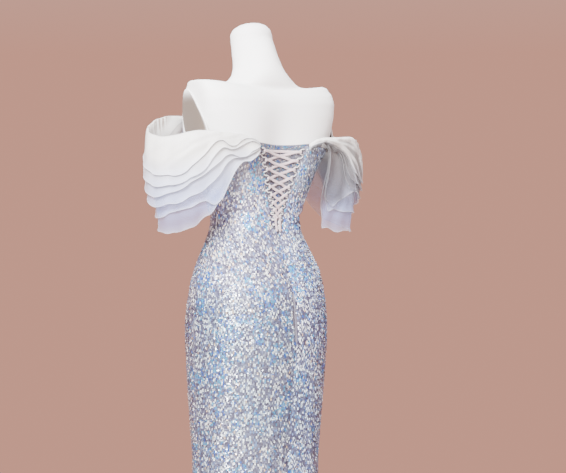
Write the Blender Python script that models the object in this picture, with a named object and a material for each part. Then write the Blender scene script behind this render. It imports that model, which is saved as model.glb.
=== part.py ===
"""Off-the-shoulder evening gown with a laced back and tiered sleeves, on a limbless dress form.

Metres, +Z up. The origin is the centre of the stand's underside. The wearer faces -Y, and the
wearer's left is +X. Every piece of cloth is a closed wall whose two faces are offsets of one
body surface, so neighbouring pieces stay a seam's gap apart.
"""

import math

import bmesh
import bpy
import numpy as np

# ---- driving dimensions -------------------------------------------------------------------
SEAM_GAP = 0.0004  # between neighbouring pieces
MODESTY_WALL = 0.0010
GOWN_WALL = 0.0014
FLOUNCE_WALL = 0.0010
MODESTY_IN = SEAM_GAP  # offsets are measured outwards from the dress form's skin
MODESTY_OUT = MODESTY_IN + MODESTY_WALL
GOWN_IN = MODESTY_OUT + 1.5 * SEAM_GAP
GOWN_OUT = GOWN_IN + GOWN_WALL
FLOUNCE_IN = GOWN_OUT + SEAM_GAP
FLOUNCE_PITCH = FLOUNCE_WALL + 1.5 * SEAM_GAP

HEM_HEIGHT = 0.018
BUST_X, BUST_REACH = 0.084, 0.050
SPINE_REACH = 0.062
FRONT_SQUARENESS = 2.7  # the front is never squarer than this
SIDE_SEAM_TURN = -6.0  # degrees: the side seams lie a little in front of the widest line
SEAM_HALF_TURN = 0.10  # degrees, half of the opening at a seam

# Sections of the body from the hem up to the armholes.
BODY_COLUMNS = ("height", "half_width", "back", "front", "squareness", "spine", "bust")
BODY = (
    (0.000, 0.250, 0.234, 0.222, 2.0, 0.0000, 0.0000),
    (0.090, 0.227, 0.207, 0.199, 2.0, 0.0000, 0.0000),
    (0.180, 0.202, 0.178, 0.174, 2.0, 0.0000, 0.0000),
    (0.270, 0.180, 0.151, 0.150, 2.1, 0.0000, 0.0000),
    (0.360, 0.163, 0.130, 0.132, 2.2, 0.0000, 0.0000),
    (0.440, 0.155, 0.120, 0.123, 2.2, 0.0000, 0.0000),
    (0.500, 0.154, 0.117, 0.121, 2.2, 0.0000, 0.0000),
    (0.585, 0.158, 0.122, 0.126, 2.2, 0.0000, 0.0000),
    (0.671, 0.163, 0.131, 0.132, 2.2, 0.0000, 0.0000),
    (0.757, 0.167, 0.141, 0.138, 2.2, 0.0000, 0.0000),
    (0.820, 0.169, 0.146, 0.141, 2.2, 0.0000, 0.0000),
    (0.870, 0.169, 0.142, 0.135, 2.2, 0.0000, 0.0000),
    (0.915, 0.165, 0.135, 0.124, 2.2, 0.0000, 0.0000),
    (0.957, 0.159, 0.124, 0.110, 2.2, 0.0000, 0.0000),
    (0.985, 0.150, 0.112, 0.102, 2.2, 0.0000, 0.0000),
    (1.014, 0.138, 0.099, 0.098, 2.1, 0.0000, 0.0000),
    (1.042, 0.124, 0.087, 0.095, 2.1, 0.0010, 0.0000),
    (1.070, 0.112, 0.080, 0.094, 2.1, 0.0020, 0.0000),
    (1.090, 0.109, 0.079, 0.092, 2.1, 0.0030, 0.0000),
    (1.118, 0.115, 0.084, 0.091, 2.2, 0.0060, 0.0010),
    (1.145, 0.124, 0.090, 0.092, 2.3, 0.0090, 0.0050),
    (1.171, 0.133, 0.095, 0.094, 2.4, 0.0130, 0.0140),
    (1.192, 0.141, 0.099, 0.096, 2.5, 0.0160, 0.0220),
    (1.214, 0.150, 0.103, 0.099, 2.6, 0.0190, 0.0290),
    (1.235, 0.160, 0.106, 0.102, 2.8, 0.0210, 0.0300),
    (1.257, 0.174, 0.109, 0.105, 3.0, 0.0220, 0.0250),
    (1.285, 0.185, 0.110, 0.104, 3.1, 0.0200, 0.0175),
    (1.320, 0.193, 0.110, 0.101, 3.3, 0.0150, 0.0090),
    (1.352, 0.198, 0.107, 0.092, 3.5, 0.0100, 0.0020),
)

# Rings of the shoulders and neck; their sides, backs and fronts lie at different heights.
SHOULDER_COLUMNS = (
    "half_width", "side_height", "centre", "back", "back_height", "front", "front_height",
    "squareness", "spine",
)
SHOULDERS = (
    (0.1980, 1.380, 0.003, 0.0980, 1.371, 0.0830, 1.380, 3.5, 0.0070),
    (0.1950, 1.400, 0.005, 0.0860, 1.383, 0.0730, 1.399, 3.0, 0.0040),
    (0.1890, 1.411, 0.005, 0.0770, 1.390, 0.0670, 1.409, 2.6, 0.0020),
    (0.1720, 1.410, 0.004, 0.0710, 1.395, 0.0610, 1.415, 2.4, 0.0),
    (0.1460, 1.405, 0.006, 0.0670, 1.402, 0.0570, 1.420, 2.3, 0.0),
    (0.1220, 1.404, 0.010, 0.0650, 1.410, 0.0550, 1.425, 2.2, 0.0),
    (0.1030, 1.408, 0.014, 0.0620, 1.420, 0.0560, 1.430, 2.1, 0.0),
    (0.0890, 1.415, 0.016, 0.0590, 1.433, 0.0560, 1.436, 2.1, 0.0),
    (0.0770, 1.425, 0.014, 0.0570, 1.448, 0.0550, 1.444, 2.0, 0.0),
    (0.0670, 1.438, 0.009, 0.0550, 1.464, 0.0530, 1.455, 2.0, 0.0),
    (0.0600, 1.456, 0.003, 0.0540, 1.481, 0.0510, 1.469, 2.0, 0.0),
    (0.0560, 1.477, -0.005, 0.0525, 1.498, 0.0495, 1.484, 2.0, 0.0),
    (0.0530, 1.500, -0.012, 0.0515, 1.512, 0.0485, 1.499, 2.0, 0.0),
    (0.0505, 1.520, -0.018, 0.0500, 1.524, 0.0480, 1.515, 2.0, 0.0),
    (0.0485, 1.535, -0.0185, 0.0480, 1.536, 0.0460, 1.531, 2.0, 0.0),
    (0.0380, 1.548, -0.0150, 0.0375, 1.548, 0.0370, 1.545, 2.0, 0.0),
    (0.0225, 1.5555, -0.0110, 0.0225, 1.5555, 0.0225, 1.554, 2.0, 0.0),
    (0.0100, 1.5580, -0.0100, 0.0100, 1.5580, 0.0100, 1.5575, 2.0, 0.0),
)
SADDLE = 4  # power of the sine that lifts a shoulder ring from its sides to its back and front
FORM_EASE, FRONT_EASE = 0.0003, 0.0016  # the form lies this much inside the body surface
FORM_SIDES = 34
FORM_CROWDING = 0.22  # how much closer the form's points lie at its front and back
FORM_FOOT = ((0.80, 0.032), (0.95, 0.018))  # share of the lowest section, and drop below it
PLATE_X = 0.1865  # the shoulders are cut flat here, and the arm plates lie on the cuts
PLATE_TURN = 0.12  # the cuts lie this much wider for each metre further back
PLATE_WALL, PLATE_CENTRE, PLATE_HALF_DEPTH, PLATE_HALF_HEIGHT = 0.003, 1.324, 0.0445, 0.070
PLATE_SHIFT = 0.003
PLATE_LEAN = 0.42  # the plate's upper part leans forwards by this share of its height
PLATE_TAPER = 0.20  # and its half depth lessens upwards by this share of it
PLATE_OUTLINE = ((0.98, SEAM_GAP), (1.0, 0.0008), (1.0, 0.0024), (0.98, PLATE_WALL))

POLE_RADIUS = 0.0165
BASE_COLLAR = 0.034
BASE_COLUMNS = ("radius", "height")
BASE = (
    (0.172, 0.000), (0.175, 0.003), (0.175, 0.009), (0.171, 0.012), (0.060, 0.023),
    (0.032, 0.026), (0.028, BASE_COLLAR),
)

# Heights of the rows of points that the gown, the placket and the form share.
SKIRT_ROWS = (HEM_HEIGHT, 0.120, 0.230, 0.340, 0.445, 0.555, 0.670, 0.780, 0.860, 0.930,
              0.985, 1.030)
BODICE_ROWS = (1.062, 1.070, 1.082, 1.113, 1.148, 1.185)
TOP_SHARES = (0.25, 0.50, 0.75, 1.00)  # of the way from the last bodice row to the top edge
MODESTY_ROWS = (1.030, 1.062, 1.082, 1.113, 1.148, 1.185, 1.2043, 1.2235, 1.2428, 1.257, 1.270)
FORM_ROWS = (0.780, 0.860, 0.930, 0.985, 1.030, 1.062, 1.082, 1.113, 1.148, 1.185, 1.2043,
             1.2235, 1.2428, 1.262, 1.285, 1.320, 1.352)

# Top edge of the gown by the turn round the body: -90 is the front's middle, 90 the back's.
NECKLINE_COLUMNS = ("turn", "height")
NECKLINE = (
    (-90, 1.318), (-75, 1.321), (-60, 1.331), (-50, 1.328), (-38, 1.293), (-25, 1.257),
    (-5, 1.242), (15, 1.242), (30, 1.250), (50, 1.261), (65, 1.263), (90, 1.262),
)
# Edge of the laced V, as half of its opening.
V_COLUMNS = ("height", "half_opening")
V_EDGE = (
    (1.062, 0.0002), (1.070, 0.0120), (1.082, 0.0148), (1.113, 0.0200), (1.130, 0.0255),
    (1.167, 0.0380), (1.208, 0.0508), (1.250, 0.0640), (1.290, 0.0760),
)
V_FOOT = 1.062
MODESTY_MARGIN = 0.018  # the placket is this much wider than the V on each side
MODESTY_DIP, MODESTY_DIP_FROM = 0.006, 1.20  # its top edge dips in the middle

LOOP_HEIGHTS = (1.249, 1.228, 1.207, 1.186, 1.166, 1.147, 1.129, 1.112, 1.096, 1.083, 1.0715)
LACED_HEIGHTS = LOOP_HEIGHTS[:9]  # the lace's ends lie over the loops below these
LOOP_CORD, LOOP_REACH, LOOP_HALF_HEIGHT = 0.0012, 0.0094, 0.0060
LOOP_ROOT = 0.0016  # the loops' ends lie this far in from the V's edge
LOOP_SHOULDER, LOOP_TIP = 0.0034, 0.0004  # a loop's corners, from its tip
LOOP_DROP, LOOP_CHAMFER = 0.0003, 0.0017
LACE_WIDTH, LACE_WALL = 0.0054, 0.0010
LACE_EASE = 0.0014  # the lacing lies this far off the placket
LACE_LOW = MODESTY_OUT + LACE_EASE + LACE_WALL / 2
LOOP_LIFT = LACE_LOW + LACE_WALL / 2 + SEAM_GAP + LOOP_CORD
LACE_HIGH = LOOP_LIFT + LOOP_CORD + SEAM_GAP + LACE_WALL / 2
LACE_OVER, LACE_UNDER = 0.0062, 0.0044  # lifts of the two strands where they cross
STRAND_SHARES = (0.28, 0.50, 0.68)  # where a strand has a point on its way across
# How the lace goes round a loop: distance beyond the loop's tip, and lift.
ARRIVING, ARRIVING_NARROW, NARROW = 0.0040, 0.0022, 0.012
WRAP = (
    (0.0, LACE_LOW), (0.0021, LACE_LOW + 0.0002), (0.0027, LOOP_LIFT), (0.0021, LACE_HIGH),
    (0.0, LACE_HIGH), (-0.0018, LACE_HIGH),
)
TOP_BAR = (0.030, 0.0, -0.030)  # points of the level run between the two top loops
TAIL_LIFT = 0.0076
# The free ends over the lowest loops: x, drop and lift; the first x counts from the loop's tip.
TAIL = (
    (-0.0012, 0.010, TAIL_LIFT), (0.0056, 0.017, TAIL_LIFT), (0.0052, 0.026, TAIL_LIFT),
    (0.0046, 0.034, TAIL_LIFT - 0.0006),
)

# The line that the flounces hang from, round the back, the arm and the front.
RING_COLUMNS = ("x", "y", "height")
RING_ON_BACK = ((0.076, 1.268), (0.090, 1.277), (0.110, 1.283))
RING_FREE = (
    (0.142, 0.101, 1.286), (0.176, 0.096, 1.288), (0.209, 0.085, 1.291), (0.242, 0.065, 1.288),
    (0.270, 0.036, 1.279), (0.285, 0.001, 1.281), (0.279, -0.034, 1.296),
    (0.253, -0.057, 1.314), (0.217, -0.071, 1.328), (0.180, -0.079, 1.334),
    (0.150, -0.0835, 1.334),
)
RING_ON_FRONT = ((0.122, 1.333), (0.103, 1.332), (0.086, 1.329))
RING_STEPS = 36
RING_SAMPLES = 400
RIGHT_RING_DROP, DROP_PLACE, DROP_REACH = 0.008, 0.22, 0.06  # the right ring sags at the arm
# The tiers: how far each leans out, and its depth at places along the ring from the back end.
PLACES = (0.0, 0.030, 0.060, 0.085, 0.110, 0.140, 0.180, 0.230, 0.290, 0.360, 0.420, 0.519)
TIER_COLUMNS = ("lean",) + PLACES
LEFT_TIERS = (
    (0.024, 0.004, 0.006, 0.016, 0.030, 0.019, 0.046, 0.084, 0.088, 0.076, 0.040, 0.014, 0.005),
    (0.026, 0.007, 0.013, 0.027, 0.038, 0.038, 0.081, 0.106, 0.112, 0.104, 0.052, 0.018, 0.007),
    (0.010, 0.010, 0.036, 0.054, 0.049, 0.066, 0.094, 0.118, 0.131, 0.132, 0.064, 0.022, 0.009),
    (-0.016, 0.013, 0.041, 0.056, 0.062, 0.095, 0.128, 0.149, 0.155, 0.154, 0.078, 0.026, 0.011),
    (-0.100, 0.018, 0.057, 0.071, 0.118, 0.160, 0.161, 0.172, 0.173, 0.187, 0.096, 0.032, 0.013),
    (-0.105, 0.015, 0.050, 0.066, 0.108, 0.163, 0.197, 0.218, 0.219, 0.222, 0.205, 0.150, 0.030),
)
RIGHT_TIERS = (
    (0.010, 0.006, 0.010, 0.012, 0.026, 0.036, 0.066, 0.092, 0.086, 0.080, 0.040, 0.014, 0.005),
    (0.012, 0.008, 0.012, 0.014, 0.029, 0.040, 0.086, 0.108, 0.106, 0.100, 0.052, 0.018, 0.007),
    (-0.010, 0.010, 0.014, 0.016, 0.032, 0.044, 0.100, 0.124, 0.126, 0.126, 0.064, 0.022, 0.009),
    (-0.030, 0.012, 0.016, 0.019, 0.096, 0.158, 0.150, 0.124, 0.132, 0.146, 0.078, 0.026, 0.011),
    (-0.075, 0.014, 0.018, 0.022, 0.086, 0.160, 0.174, 0.172, 0.160, 0.168, 0.096, 0.032, 0.013),
    (-0.085, 0.016, 0.020, 0.026, 0.086, 0.186, 0.220, 0.218, 0.207, 0.212, 0.205, 0.150, 0.030),
)
# The right sleeve's back falls in towards the body by this slope at each place.
RIGHT_TUCK = (0.0, 0.0, -0.10, -0.26, -0.26, -0.20, -0.10, -0.02, 0.0, 0.0, 0.0, 0.0)
FREE_FROM, FREE_OVER = 0.090, 0.070  # where the tiers leave the body, from the ring's ends
TIER_SPREAD = 0.030  # each tier leans out by this much more than the one that it covers
LEFT_PUFF, RIGHT_PUFF, PUFF_DEPTH = 0.001, 0.014, 0.030
WAVE, WAVE_LENGTH, WAVE_FROM = 0.014, 0.083, 0.12  # swing of a fold per metre below the line
CLEAR_STEPS, CLEAR_DEPTH = 8, 0.12
LEAST_LEAN = -0.10

COLOURS = {
    "sequin": ((0.49, 0.51, 0.58), 0.35, 0.6),
    "organza": ((0.84, 0.84, 0.86), 0.60, 0.0),
    "satin": ((0.74, 0.69, 0.71), 0.35, 0.0),
    "cord": ((0.85, 0.83, 0.83), 0.60, 0.0),
    "linen": ((0.83, 0.83, 0.84), 0.90, 0.0),
    "plate": ((0.52, 0.45, 0.40), 0.70, 0.0),
    "steel": ((0.62, 0.62, 0.63), 0.30, 1.0),
    "base": ((0.70, 0.70, 0.71), 0.45, 0.2),
}


# ---- tables and the body surface ----------------------------------------------------------
def column(table, names, name):
    """One named column of a table."""
    return np.array([row[names.index(name)] for row in table], float)


def smooth(at, knots, values):
    """Cubic through the table's values, with the slopes of its neighbouring rows."""
    slopes = np.gradient(values, knots)
    at = np.clip(at, knots[0], knots[-1])
    i = np.clip(np.searchsorted(knots, at) - 1, 0, len(knots) - 2)
    step = knots[i + 1] - knots[i]
    t = (at - knots[i]) / step
    start = values[i] + t * step * slopes[i]
    end = values[i + 1] - (1 - t) * step * slopes[i + 1]
    ease = t * t * (3 - 2 * t)
    return start * (1 - ease) + end * ease


def body(name, height):
    """A body measure at a height."""
    return smooth(height, column(BODY, BODY_COLUMNS, "height"), column(BODY, BODY_COLUMNS, name))


def section(turn, half_width, back, front, square, spine, bust):
    """A point on a rounded-square section, hollowed at the spine and raised at the bust."""
    c, s = np.cos(turn), np.sin(turn)
    square = np.where(s > 0, square, np.minimum(square, FRONT_SQUARENESS))
    reach = (np.abs(c) ** square + np.abs(s) ** square) ** (-1 / square)
    x = half_width * reach * c
    y = np.where(s > 0, back, front) * reach * s
    behind = np.clip(s, 0, 1) ** 0.5
    before = np.clip(-s, 0, 1) ** 0.5
    y = y - spine * behind * np.exp(-((x / SPINE_REACH) ** 2))
    y = y - bust * before * np.exp(-(((np.abs(x) - BUST_X) / BUST_REACH) ** 2))
    return x, y


def skin(turn, height, out=0.0):
    """A point on the body surface, moved out from it level; turn 0 is +X and 90 the back."""
    turn, height = np.broadcast_arrays(np.asarray(turn, float), np.asarray(height, float))
    measures = [body(name, height) for name in BODY_COLUMNS[1:]]
    x, y = section(turn, *measures)
    nudge = 0.01
    x1, y1 = section(turn - nudge, *measures)
    x2, y2 = section(turn + nudge, *measures)
    along = np.hypot(x2 - x1, y2 - y1)
    x = x + out * (y2 - y1) / along
    y = y - out * (x2 - x1) / along
    return np.stack([x, y, height], axis=-1)


def turn_at(x, height, side=1):
    """The turn at which the body's back (side 1) or front (side -1) has this x."""
    square = body("squareness", height)
    square = np.where(np.asarray(side) > 0, square, np.minimum(square, FRONT_SQUARENESS))
    share = np.clip(np.abs(x) / body("half_width", height), 0, 0.98)
    ratio = share / (1 - share**square) ** (1 / square)
    return side * np.arctan2(1.0, np.sign(x) * ratio)


def on_back(x, height, lift):
    """A point over the body's back at x and height, lifted off it."""
    height = np.asarray(height, float)
    return skin(turn_at(np.asarray(x, float), height), height, lift)


# ---- meshes -------------------------------------------------------------------------------
def material(name):
    """A plain finish from the table of colours."""
    found = bpy.data.materials.get(name)
    if found:
        return found
    colour, roughness, metallic = COLOURS[name]
    made = bpy.data.materials.new(name)
    made.use_nodes = True
    shader = made.node_tree.nodes["Principled BSDF"]
    shader.inputs["Base Color"].default_value = (*colour, 1.0)
    shader.inputs["Roughness"].default_value = roughness
    shader.inputs["Metallic"].default_value = metallic
    return made


def add_mesh(name, points, faces, finish, crease=40.0):
    """A mesh object whose faces are turned outwards."""
    mesh = bpy.data.meshes.new(name)
    mesh.from_pydata([tuple(p) for p in points], [], faces)
    work = bmesh.new()
    work.from_mesh(mesh)
    bmesh.ops.recalc_face_normals(work, faces=work.faces)
    work.to_mesh(mesh)
    work.free()
    mesh.materials.append(material(finish))
    mesh.shade_smooth()
    mesh.set_sharp_from_angle(angle=math.radians(crease))
    made = bpy.data.objects.new(name, mesh)
    bpy.context.scene.collection.objects.link(made)
    return made


def cell(columns, row, col):
    """The index of a grid point, with the columns running on round."""
    return row * columns + col % columns


def inward_halves(quad, points, outward):
    """A quad's two triangles, split along the diagonal that lies further in."""
    a, b, c, d = quad
    first_is_out = np.dot(points[a] + points[c] - points[b] - points[d], outward) > 0
    return [[a, b, d], [b, c, d]] if first_is_out else [[a, b, c], [a, c, d]]


def add_wall(name, inner, outer, finish):
    """A closed wall between two grids of points (rows, columns, 3)."""
    rows, columns = inner.shape[:2]
    points = np.concatenate([inner.reshape(-1, 3), outer.reshape(-1, 3)])
    skip = rows * columns
    faces = []
    for r in range(rows - 1):
        for c in range(columns - 1):
            quad = [r * columns + c, r * columns + c + 1, (r + 1) * columns + c + 1,
                    (r + 1) * columns + c]
            for half in inward_halves(quad, points, outer[r, c] - inner[r, c]):
                faces.append([skip + i for i in half])
                faces.append(half[::-1])
    border = [(0, c) for c in range(columns)]
    border += [(r, columns - 1) for r in range(1, rows)]
    border += [(rows - 1, c) for c in range(columns - 2, -1, -1)]
    border += [(r, 0) for r in range(rows - 2, 0, -1)]
    rim = [r * columns + c for r, c in border]
    for here, there in zip(rim, rim[1:] + rim[:1]):
        faces.append([here, there, skip + there, skip + here])
    return add_mesh(name, points, faces, finish)


def add_stack(name, rings, finish, crease=50.0):
    """A closed solid through closed rings (rings, points, 3), with flat ends."""
    count, around = rings.shape[:2]
    faces = []
    for r in range(count - 1):
        for c in range(around):
            faces.append([cell(around, r, c), cell(around, r, c + 1),
                          cell(around, r + 1, c + 1), cell(around, r + 1, c)])
    faces.append(list(range(around))[::-1])
    faces.append([(count - 1) * around + c for c in range(around)])
    return add_mesh(name, rings.reshape(-1, 3), faces, finish, crease)


def unit(vectors):
    """Vectors made one long."""
    return vectors / np.linalg.norm(vectors, axis=-1, keepdims=True)


def add_rod(name, path, radius, finish, sides=6):
    """A round rod along a path, its rings kept square to the path and free of twist."""
    ahead = unit(np.gradient(path, axis=0))
    across = np.cross(ahead[0], (0.0, 0.0, 1.0))
    if np.linalg.norm(across) < 0.1:
        across = np.cross(ahead[0], (1.0, 0.0, 0.0))
    rings = []
    for point, way in zip(path, ahead):
        across = across - way * np.dot(across, way)
        across = across / np.linalg.norm(across)
        other = np.cross(way, across)
        turns = np.arange(sides) * 2 * math.pi / sides
        rings.append([point + radius * (math.cos(t) * across + math.sin(t) * other)
                      for t in turns])
    return add_stack(name, np.array(rings), finish)


def add_ribbon(name, path, broad, width, wall, finish):
    """A flat ribbon along a path; broad holds the way that its width lies at each point."""
    ahead = unit(np.gradient(path, axis=0))
    broad = unit(broad - ahead * np.sum(broad * ahead, axis=-1, keepdims=True))
    thick = np.cross(ahead, broad)
    corners = ((-1, -1), (1, -1), (1, 1), (-1, 1))
    rings = np.stack([path + broad * a * width / 2 + thick * b * wall / 2
                      for a, b in corners], axis=1)
    return add_stack(name, rings, finish, crease=30.0)


# ---- gown ---------------------------------------------------------------------------------
def neckline(turn):
    """Height of the gown's top edge; both sides of the gown are alike."""
    degrees = np.degrees(np.asarray(turn, float))
    degrees = np.where(degrees > 90, 180 - degrees, degrees)
    degrees = np.where(degrees < -90, -180 - degrees, degrees)
    return smooth(degrees, column(NECKLINE, NECKLINE_COLUMNS, "turn"),
                  column(NECKLINE, NECKLINE_COLUMNS, "height"))


def v_edge(height):
    """Half of the V's opening at a height; below its foot, half of the seam's gap."""
    at = np.clip(height, V_FOOT, None)
    return np.interp(at, column(V_EDGE, V_COLUMNS, "height"),
                     column(V_EDGE, V_COLUMNS, "half_opening"))


def panel_grid(first, last, columns, out, v_side=0):
    """Points of a panel between two turns; v_side 1 or -1 follows the V on that side."""
    shares = np.linspace(0, 1, columns)
    base, back_top = BODICE_ROWS[-1], float(neckline(math.pi / 2))
    rows = [(z, 0.0) for z in SKIRT_ROWS + BODICE_ROWS]
    rows += [(base + (back_top - base) * share, share) for share in TOP_SHARES]
    grid = []
    for z, share in rows:
        ends = [first, last]
        if v_side:
            ends[0 if v_side < 0 else 1] = float(turn_at(v_side * v_edge(z), z))
        turns = ends[0] + (ends[1] - ends[0]) * shares
        height = np.full(columns, z)
        if share:
            height = base + (neckline(turns) - base) * share
        grid.append(skin(turns, height, out))
    return np.array(grid)


def add_panel(name, first, last, columns, v_side=0):
    """A gown panel as a wall between two turns, in degrees."""
    ends = (math.radians(first), math.radians(last))
    inner = panel_grid(*ends, columns, GOWN_IN, v_side)
    outer = panel_grid(*ends, columns, GOWN_OUT, v_side)
    add_wall(name, inner, outer, "sequin")


def add_gown():
    """Front and two backs. The side seams are open by a seam's gap."""
    left, right = SIDE_SEAM_TURN, -180 - SIDE_SEAM_TURN
    add_panel("front_panel", right + SEAM_HALF_TURN, left - SEAM_HALF_TURN, 27)
    add_panel("back_panel_left", left + SEAM_HALF_TURN, 90 - SEAM_HALF_TURN, 15, 1)
    add_panel("back_panel_right", 90 + SEAM_HALF_TURN, 180 - left - SEAM_HALF_TURN, 15, -1)


def add_modesty():
    """The placket behind the lacing: a strip wider than the V, up to just over its top."""
    heights = np.array(MODESTY_ROWS)
    half = v_edge(heights) + MODESTY_MARGIN
    shares = np.linspace(-1, 1, 15)
    x = half[:, None] * shares
    z = np.broadcast_to(heights[:, None], x.shape)
    near_top = np.clip((z - MODESTY_DIP_FROM) / (MODESTY_ROWS[-1] - MODESTY_DIP_FROM), 0, 1)
    z = z - MODESTY_DIP * near_top * np.cos(shares * math.pi / 2)
    add_wall("modesty_panel", on_back(x, z, MODESTY_IN), on_back(x, z, MODESTY_OUT), "sequin")


# ---- lacing -------------------------------------------------------------------------------
def tip(height):
    """How far from the middle a loop's tip lies."""
    return v_edge(height) - LOOP_REACH


def add_loops(side, name):
    """A row of square-cornered loops that stand out from the V's edge, made of one cord."""
    low, high = MODESTY_OUT + LACE_EASE + LOOP_CORD, LOOP_LIFT
    drawn = []
    for z in LOOP_HEIGHTS:
        top, bottom, end = z + LOOP_HALF_HEIGHT, z - LOOP_HALF_HEIGHT, tip(z)
        drawn += [
            (v_edge(top) - LOOP_ROOT, top, low),
            (end + LOOP_SHOULDER, top - LOOP_DROP, high),
            (end + LOOP_TIP, top - LOOP_CHAMFER, high),
            (end + LOOP_TIP, bottom + LOOP_CHAMFER, high),
            (end + LOOP_SHOULDER, bottom + LOOP_DROP, high),
            (v_edge(bottom) - LOOP_ROOT, bottom, low),
        ]
    path = np.array([on_back(side * x, z, lift) for x, z, lift in drawn])
    add_rod(name, path, LOOP_CORD, "cord", sides=6)


def lace_route(side):
    """Half of the lace from the top down: x, height, lift, and the strand that a point is on."""
    drawn = []
    strand = 0
    for k, z in enumerate(LACED_HEIGHTS):
        end = tip(z)
        arriving = ARRIVING if end > NARROW else ARRIVING_NARROW
        wrap = ((-arriving, LACE_LOW),) + WRAP
        last = len(wrap) - 2
        drawn += [(side * (end + beyond), z, lift, strand + min(i, last) / last)
                  for i, (beyond, lift) in enumerate(wrap)]
        strand += 1
        if k + 1 < len(LACED_HEIGHTS):
            below = LACED_HEIGHTS[k + 1]
            middle = LACE_OVER if side > 0 else LACE_UNDER
            near, far = end, -tip(below)
            for share in STRAND_SHARES:
                x = near + (far - near) * share
                drawn.append((side * x, z + (below - z) * share, middle, strand))
        side = -side
    return drawn


def strand_ways(heights_from, heights_to, x_from, x_to):
    """Unit way across a strand, upwards, in x and height."""
    run, drop = x_to - x_from, heights_to - heights_from
    length = math.hypot(run, drop)
    way = np.array((-drop, run)) / length
    return way if way[1] > 0 else -way


def half_lace(side):
    """Path and broad ways of half of the lace, from its top loop to its lowest one."""
    route = lace_route(side)
    ways = [np.array((0.0, 1.0))]
    for k in range(len(LACED_HEIGHTS) - 1):
        here, there = LACED_HEIGHTS[k], LACED_HEIGHTS[k + 1]
        start = side * tip(here) * (-1) ** k
        ways.append(strand_ways(here, there, start, -side * tip(there) * (-1) ** k))
    ways.append(np.array((0.0, 1.0)))
    path, broad = [], []
    for x, z, lift, strand in route:
        path.append(on_back(x, z, lift))
        i = min(int(strand), len(ways) - 2)
        way = ways[i] * (1 - strand + int(strand)) + ways[i + 1] * (strand - int(strand))
        ahead = on_back(x + way[0] * 0.001, z + way[1] * 0.001, lift)
        broad.append(unit(ahead - path[-1]))
    return path, broad


def add_lace():
    """One satin lace: up one half of the lacing, over the top, down the other half."""
    left_path, left_broad = half_lace(1)
    right_path, right_broad = half_lace(-1)
    up = np.array((0.0, 0.0, 1.0))
    crossings = len(LACED_HEIGHTS) - 1
    z = LACED_HEIGHTS[-1]
    first = (tip(z) + TAIL[0][0], *TAIL[0][1:])
    tails = []
    for side in (1, -1):
        low_side = side * (-1) ** crossings
        tails.append([on_back(low_side * x, z - drop, lift)
                      for x, drop, lift in (first,) + TAIL[1:]])
    level = np.array((1.0, 0.0, 0.0))
    bar = [on_back(x, LACED_HEIGHTS[0], LACE_LOW + 0.0002) for x in TOP_BAR]
    path = tails[0][::-1] + left_path[::-1] + bar + right_path + tails[1]
    broad = ([level] * 4 + [-b for b in left_broad[::-1]] + [-up] * 3
             + [-b for b in right_broad] + [-level] * 4)
    add_ribbon("back_lace", np.array(path), np.array(broad), LACE_WIDTH, LACE_WALL, "satin")


# ---- sleeves ------------------------------------------------------------------------------
def ring_line():
    """The hanging line as evenly spaced points, with its outward ways and its distances."""
    back = [on_back(x, z, 0.0) for x, z in RING_ON_BACK]
    front = [skin(turn_at(x, z, -1), z) for x, z in RING_ON_FRONT]
    knots = np.array(back + [np.array(p) for p in RING_FREE] + front)
    chord = np.concatenate([[0], np.cumsum(np.linalg.norm(np.diff(knots, axis=0), axis=1))])
    along = np.linspace(0, chord[-1], RING_SAMPLES)
    dense = np.stack([smooth(along, chord, knots[:, i]) for i in range(3)], axis=-1)
    length = np.concatenate([[0], np.cumsum(np.linalg.norm(np.diff(dense, axis=0), axis=1))])
    steps = np.linspace(0, length[-1], RING_STEPS + 1)
    line = np.stack([np.interp(steps, length, dense[:, i]) for i in range(3)], axis=-1)
    ahead = np.gradient(line, axis=0)
    outward = unit(np.stack([-ahead[:, 1], ahead[:, 0], np.zeros(len(line))], axis=-1))
    return line, outward, steps


def sunk_in_body(point):
    """How far a point lies inside the body surface along Y, or less than nothing outside."""
    x, y, height = point[..., 0], point[..., 1], point[..., 2]
    turn = turn_at(x, height, np.where(y > 0, 1, -1))
    surface = skin(turn, height)[..., 1]
    beside = np.abs(x) > body("half_width", height)
    return np.where(beside, -1.0, np.abs(surface) - np.abs(y))


def least_slope(line, outward, depth):
    """The lean that takes each hanging line straight down clear of the body."""
    slope = np.full(len(line), LEAST_LEAN)
    for share in np.linspace(1 / CLEAR_STEPS, 1, CLEAR_STEPS):
        down = depth * share
        point = line + outward * (slope * down)[:, None]
        point[:, 2] -= down
        inside = np.clip(sunk_in_body(point) + GOWN_OUT * share, 0, None)
        slope = slope + inside / np.maximum(np.abs(outward[:, 1]), 0.4) / down
    padded = np.pad(slope, 1, mode="edge")
    most = np.maximum(np.maximum(padded[:-2], padded[1:-1]), padded[2:])
    padded = np.pad(most, 1, mode="edge")
    return (padded[:-2] + padded[1:-1] + padded[2:]) / 3


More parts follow.
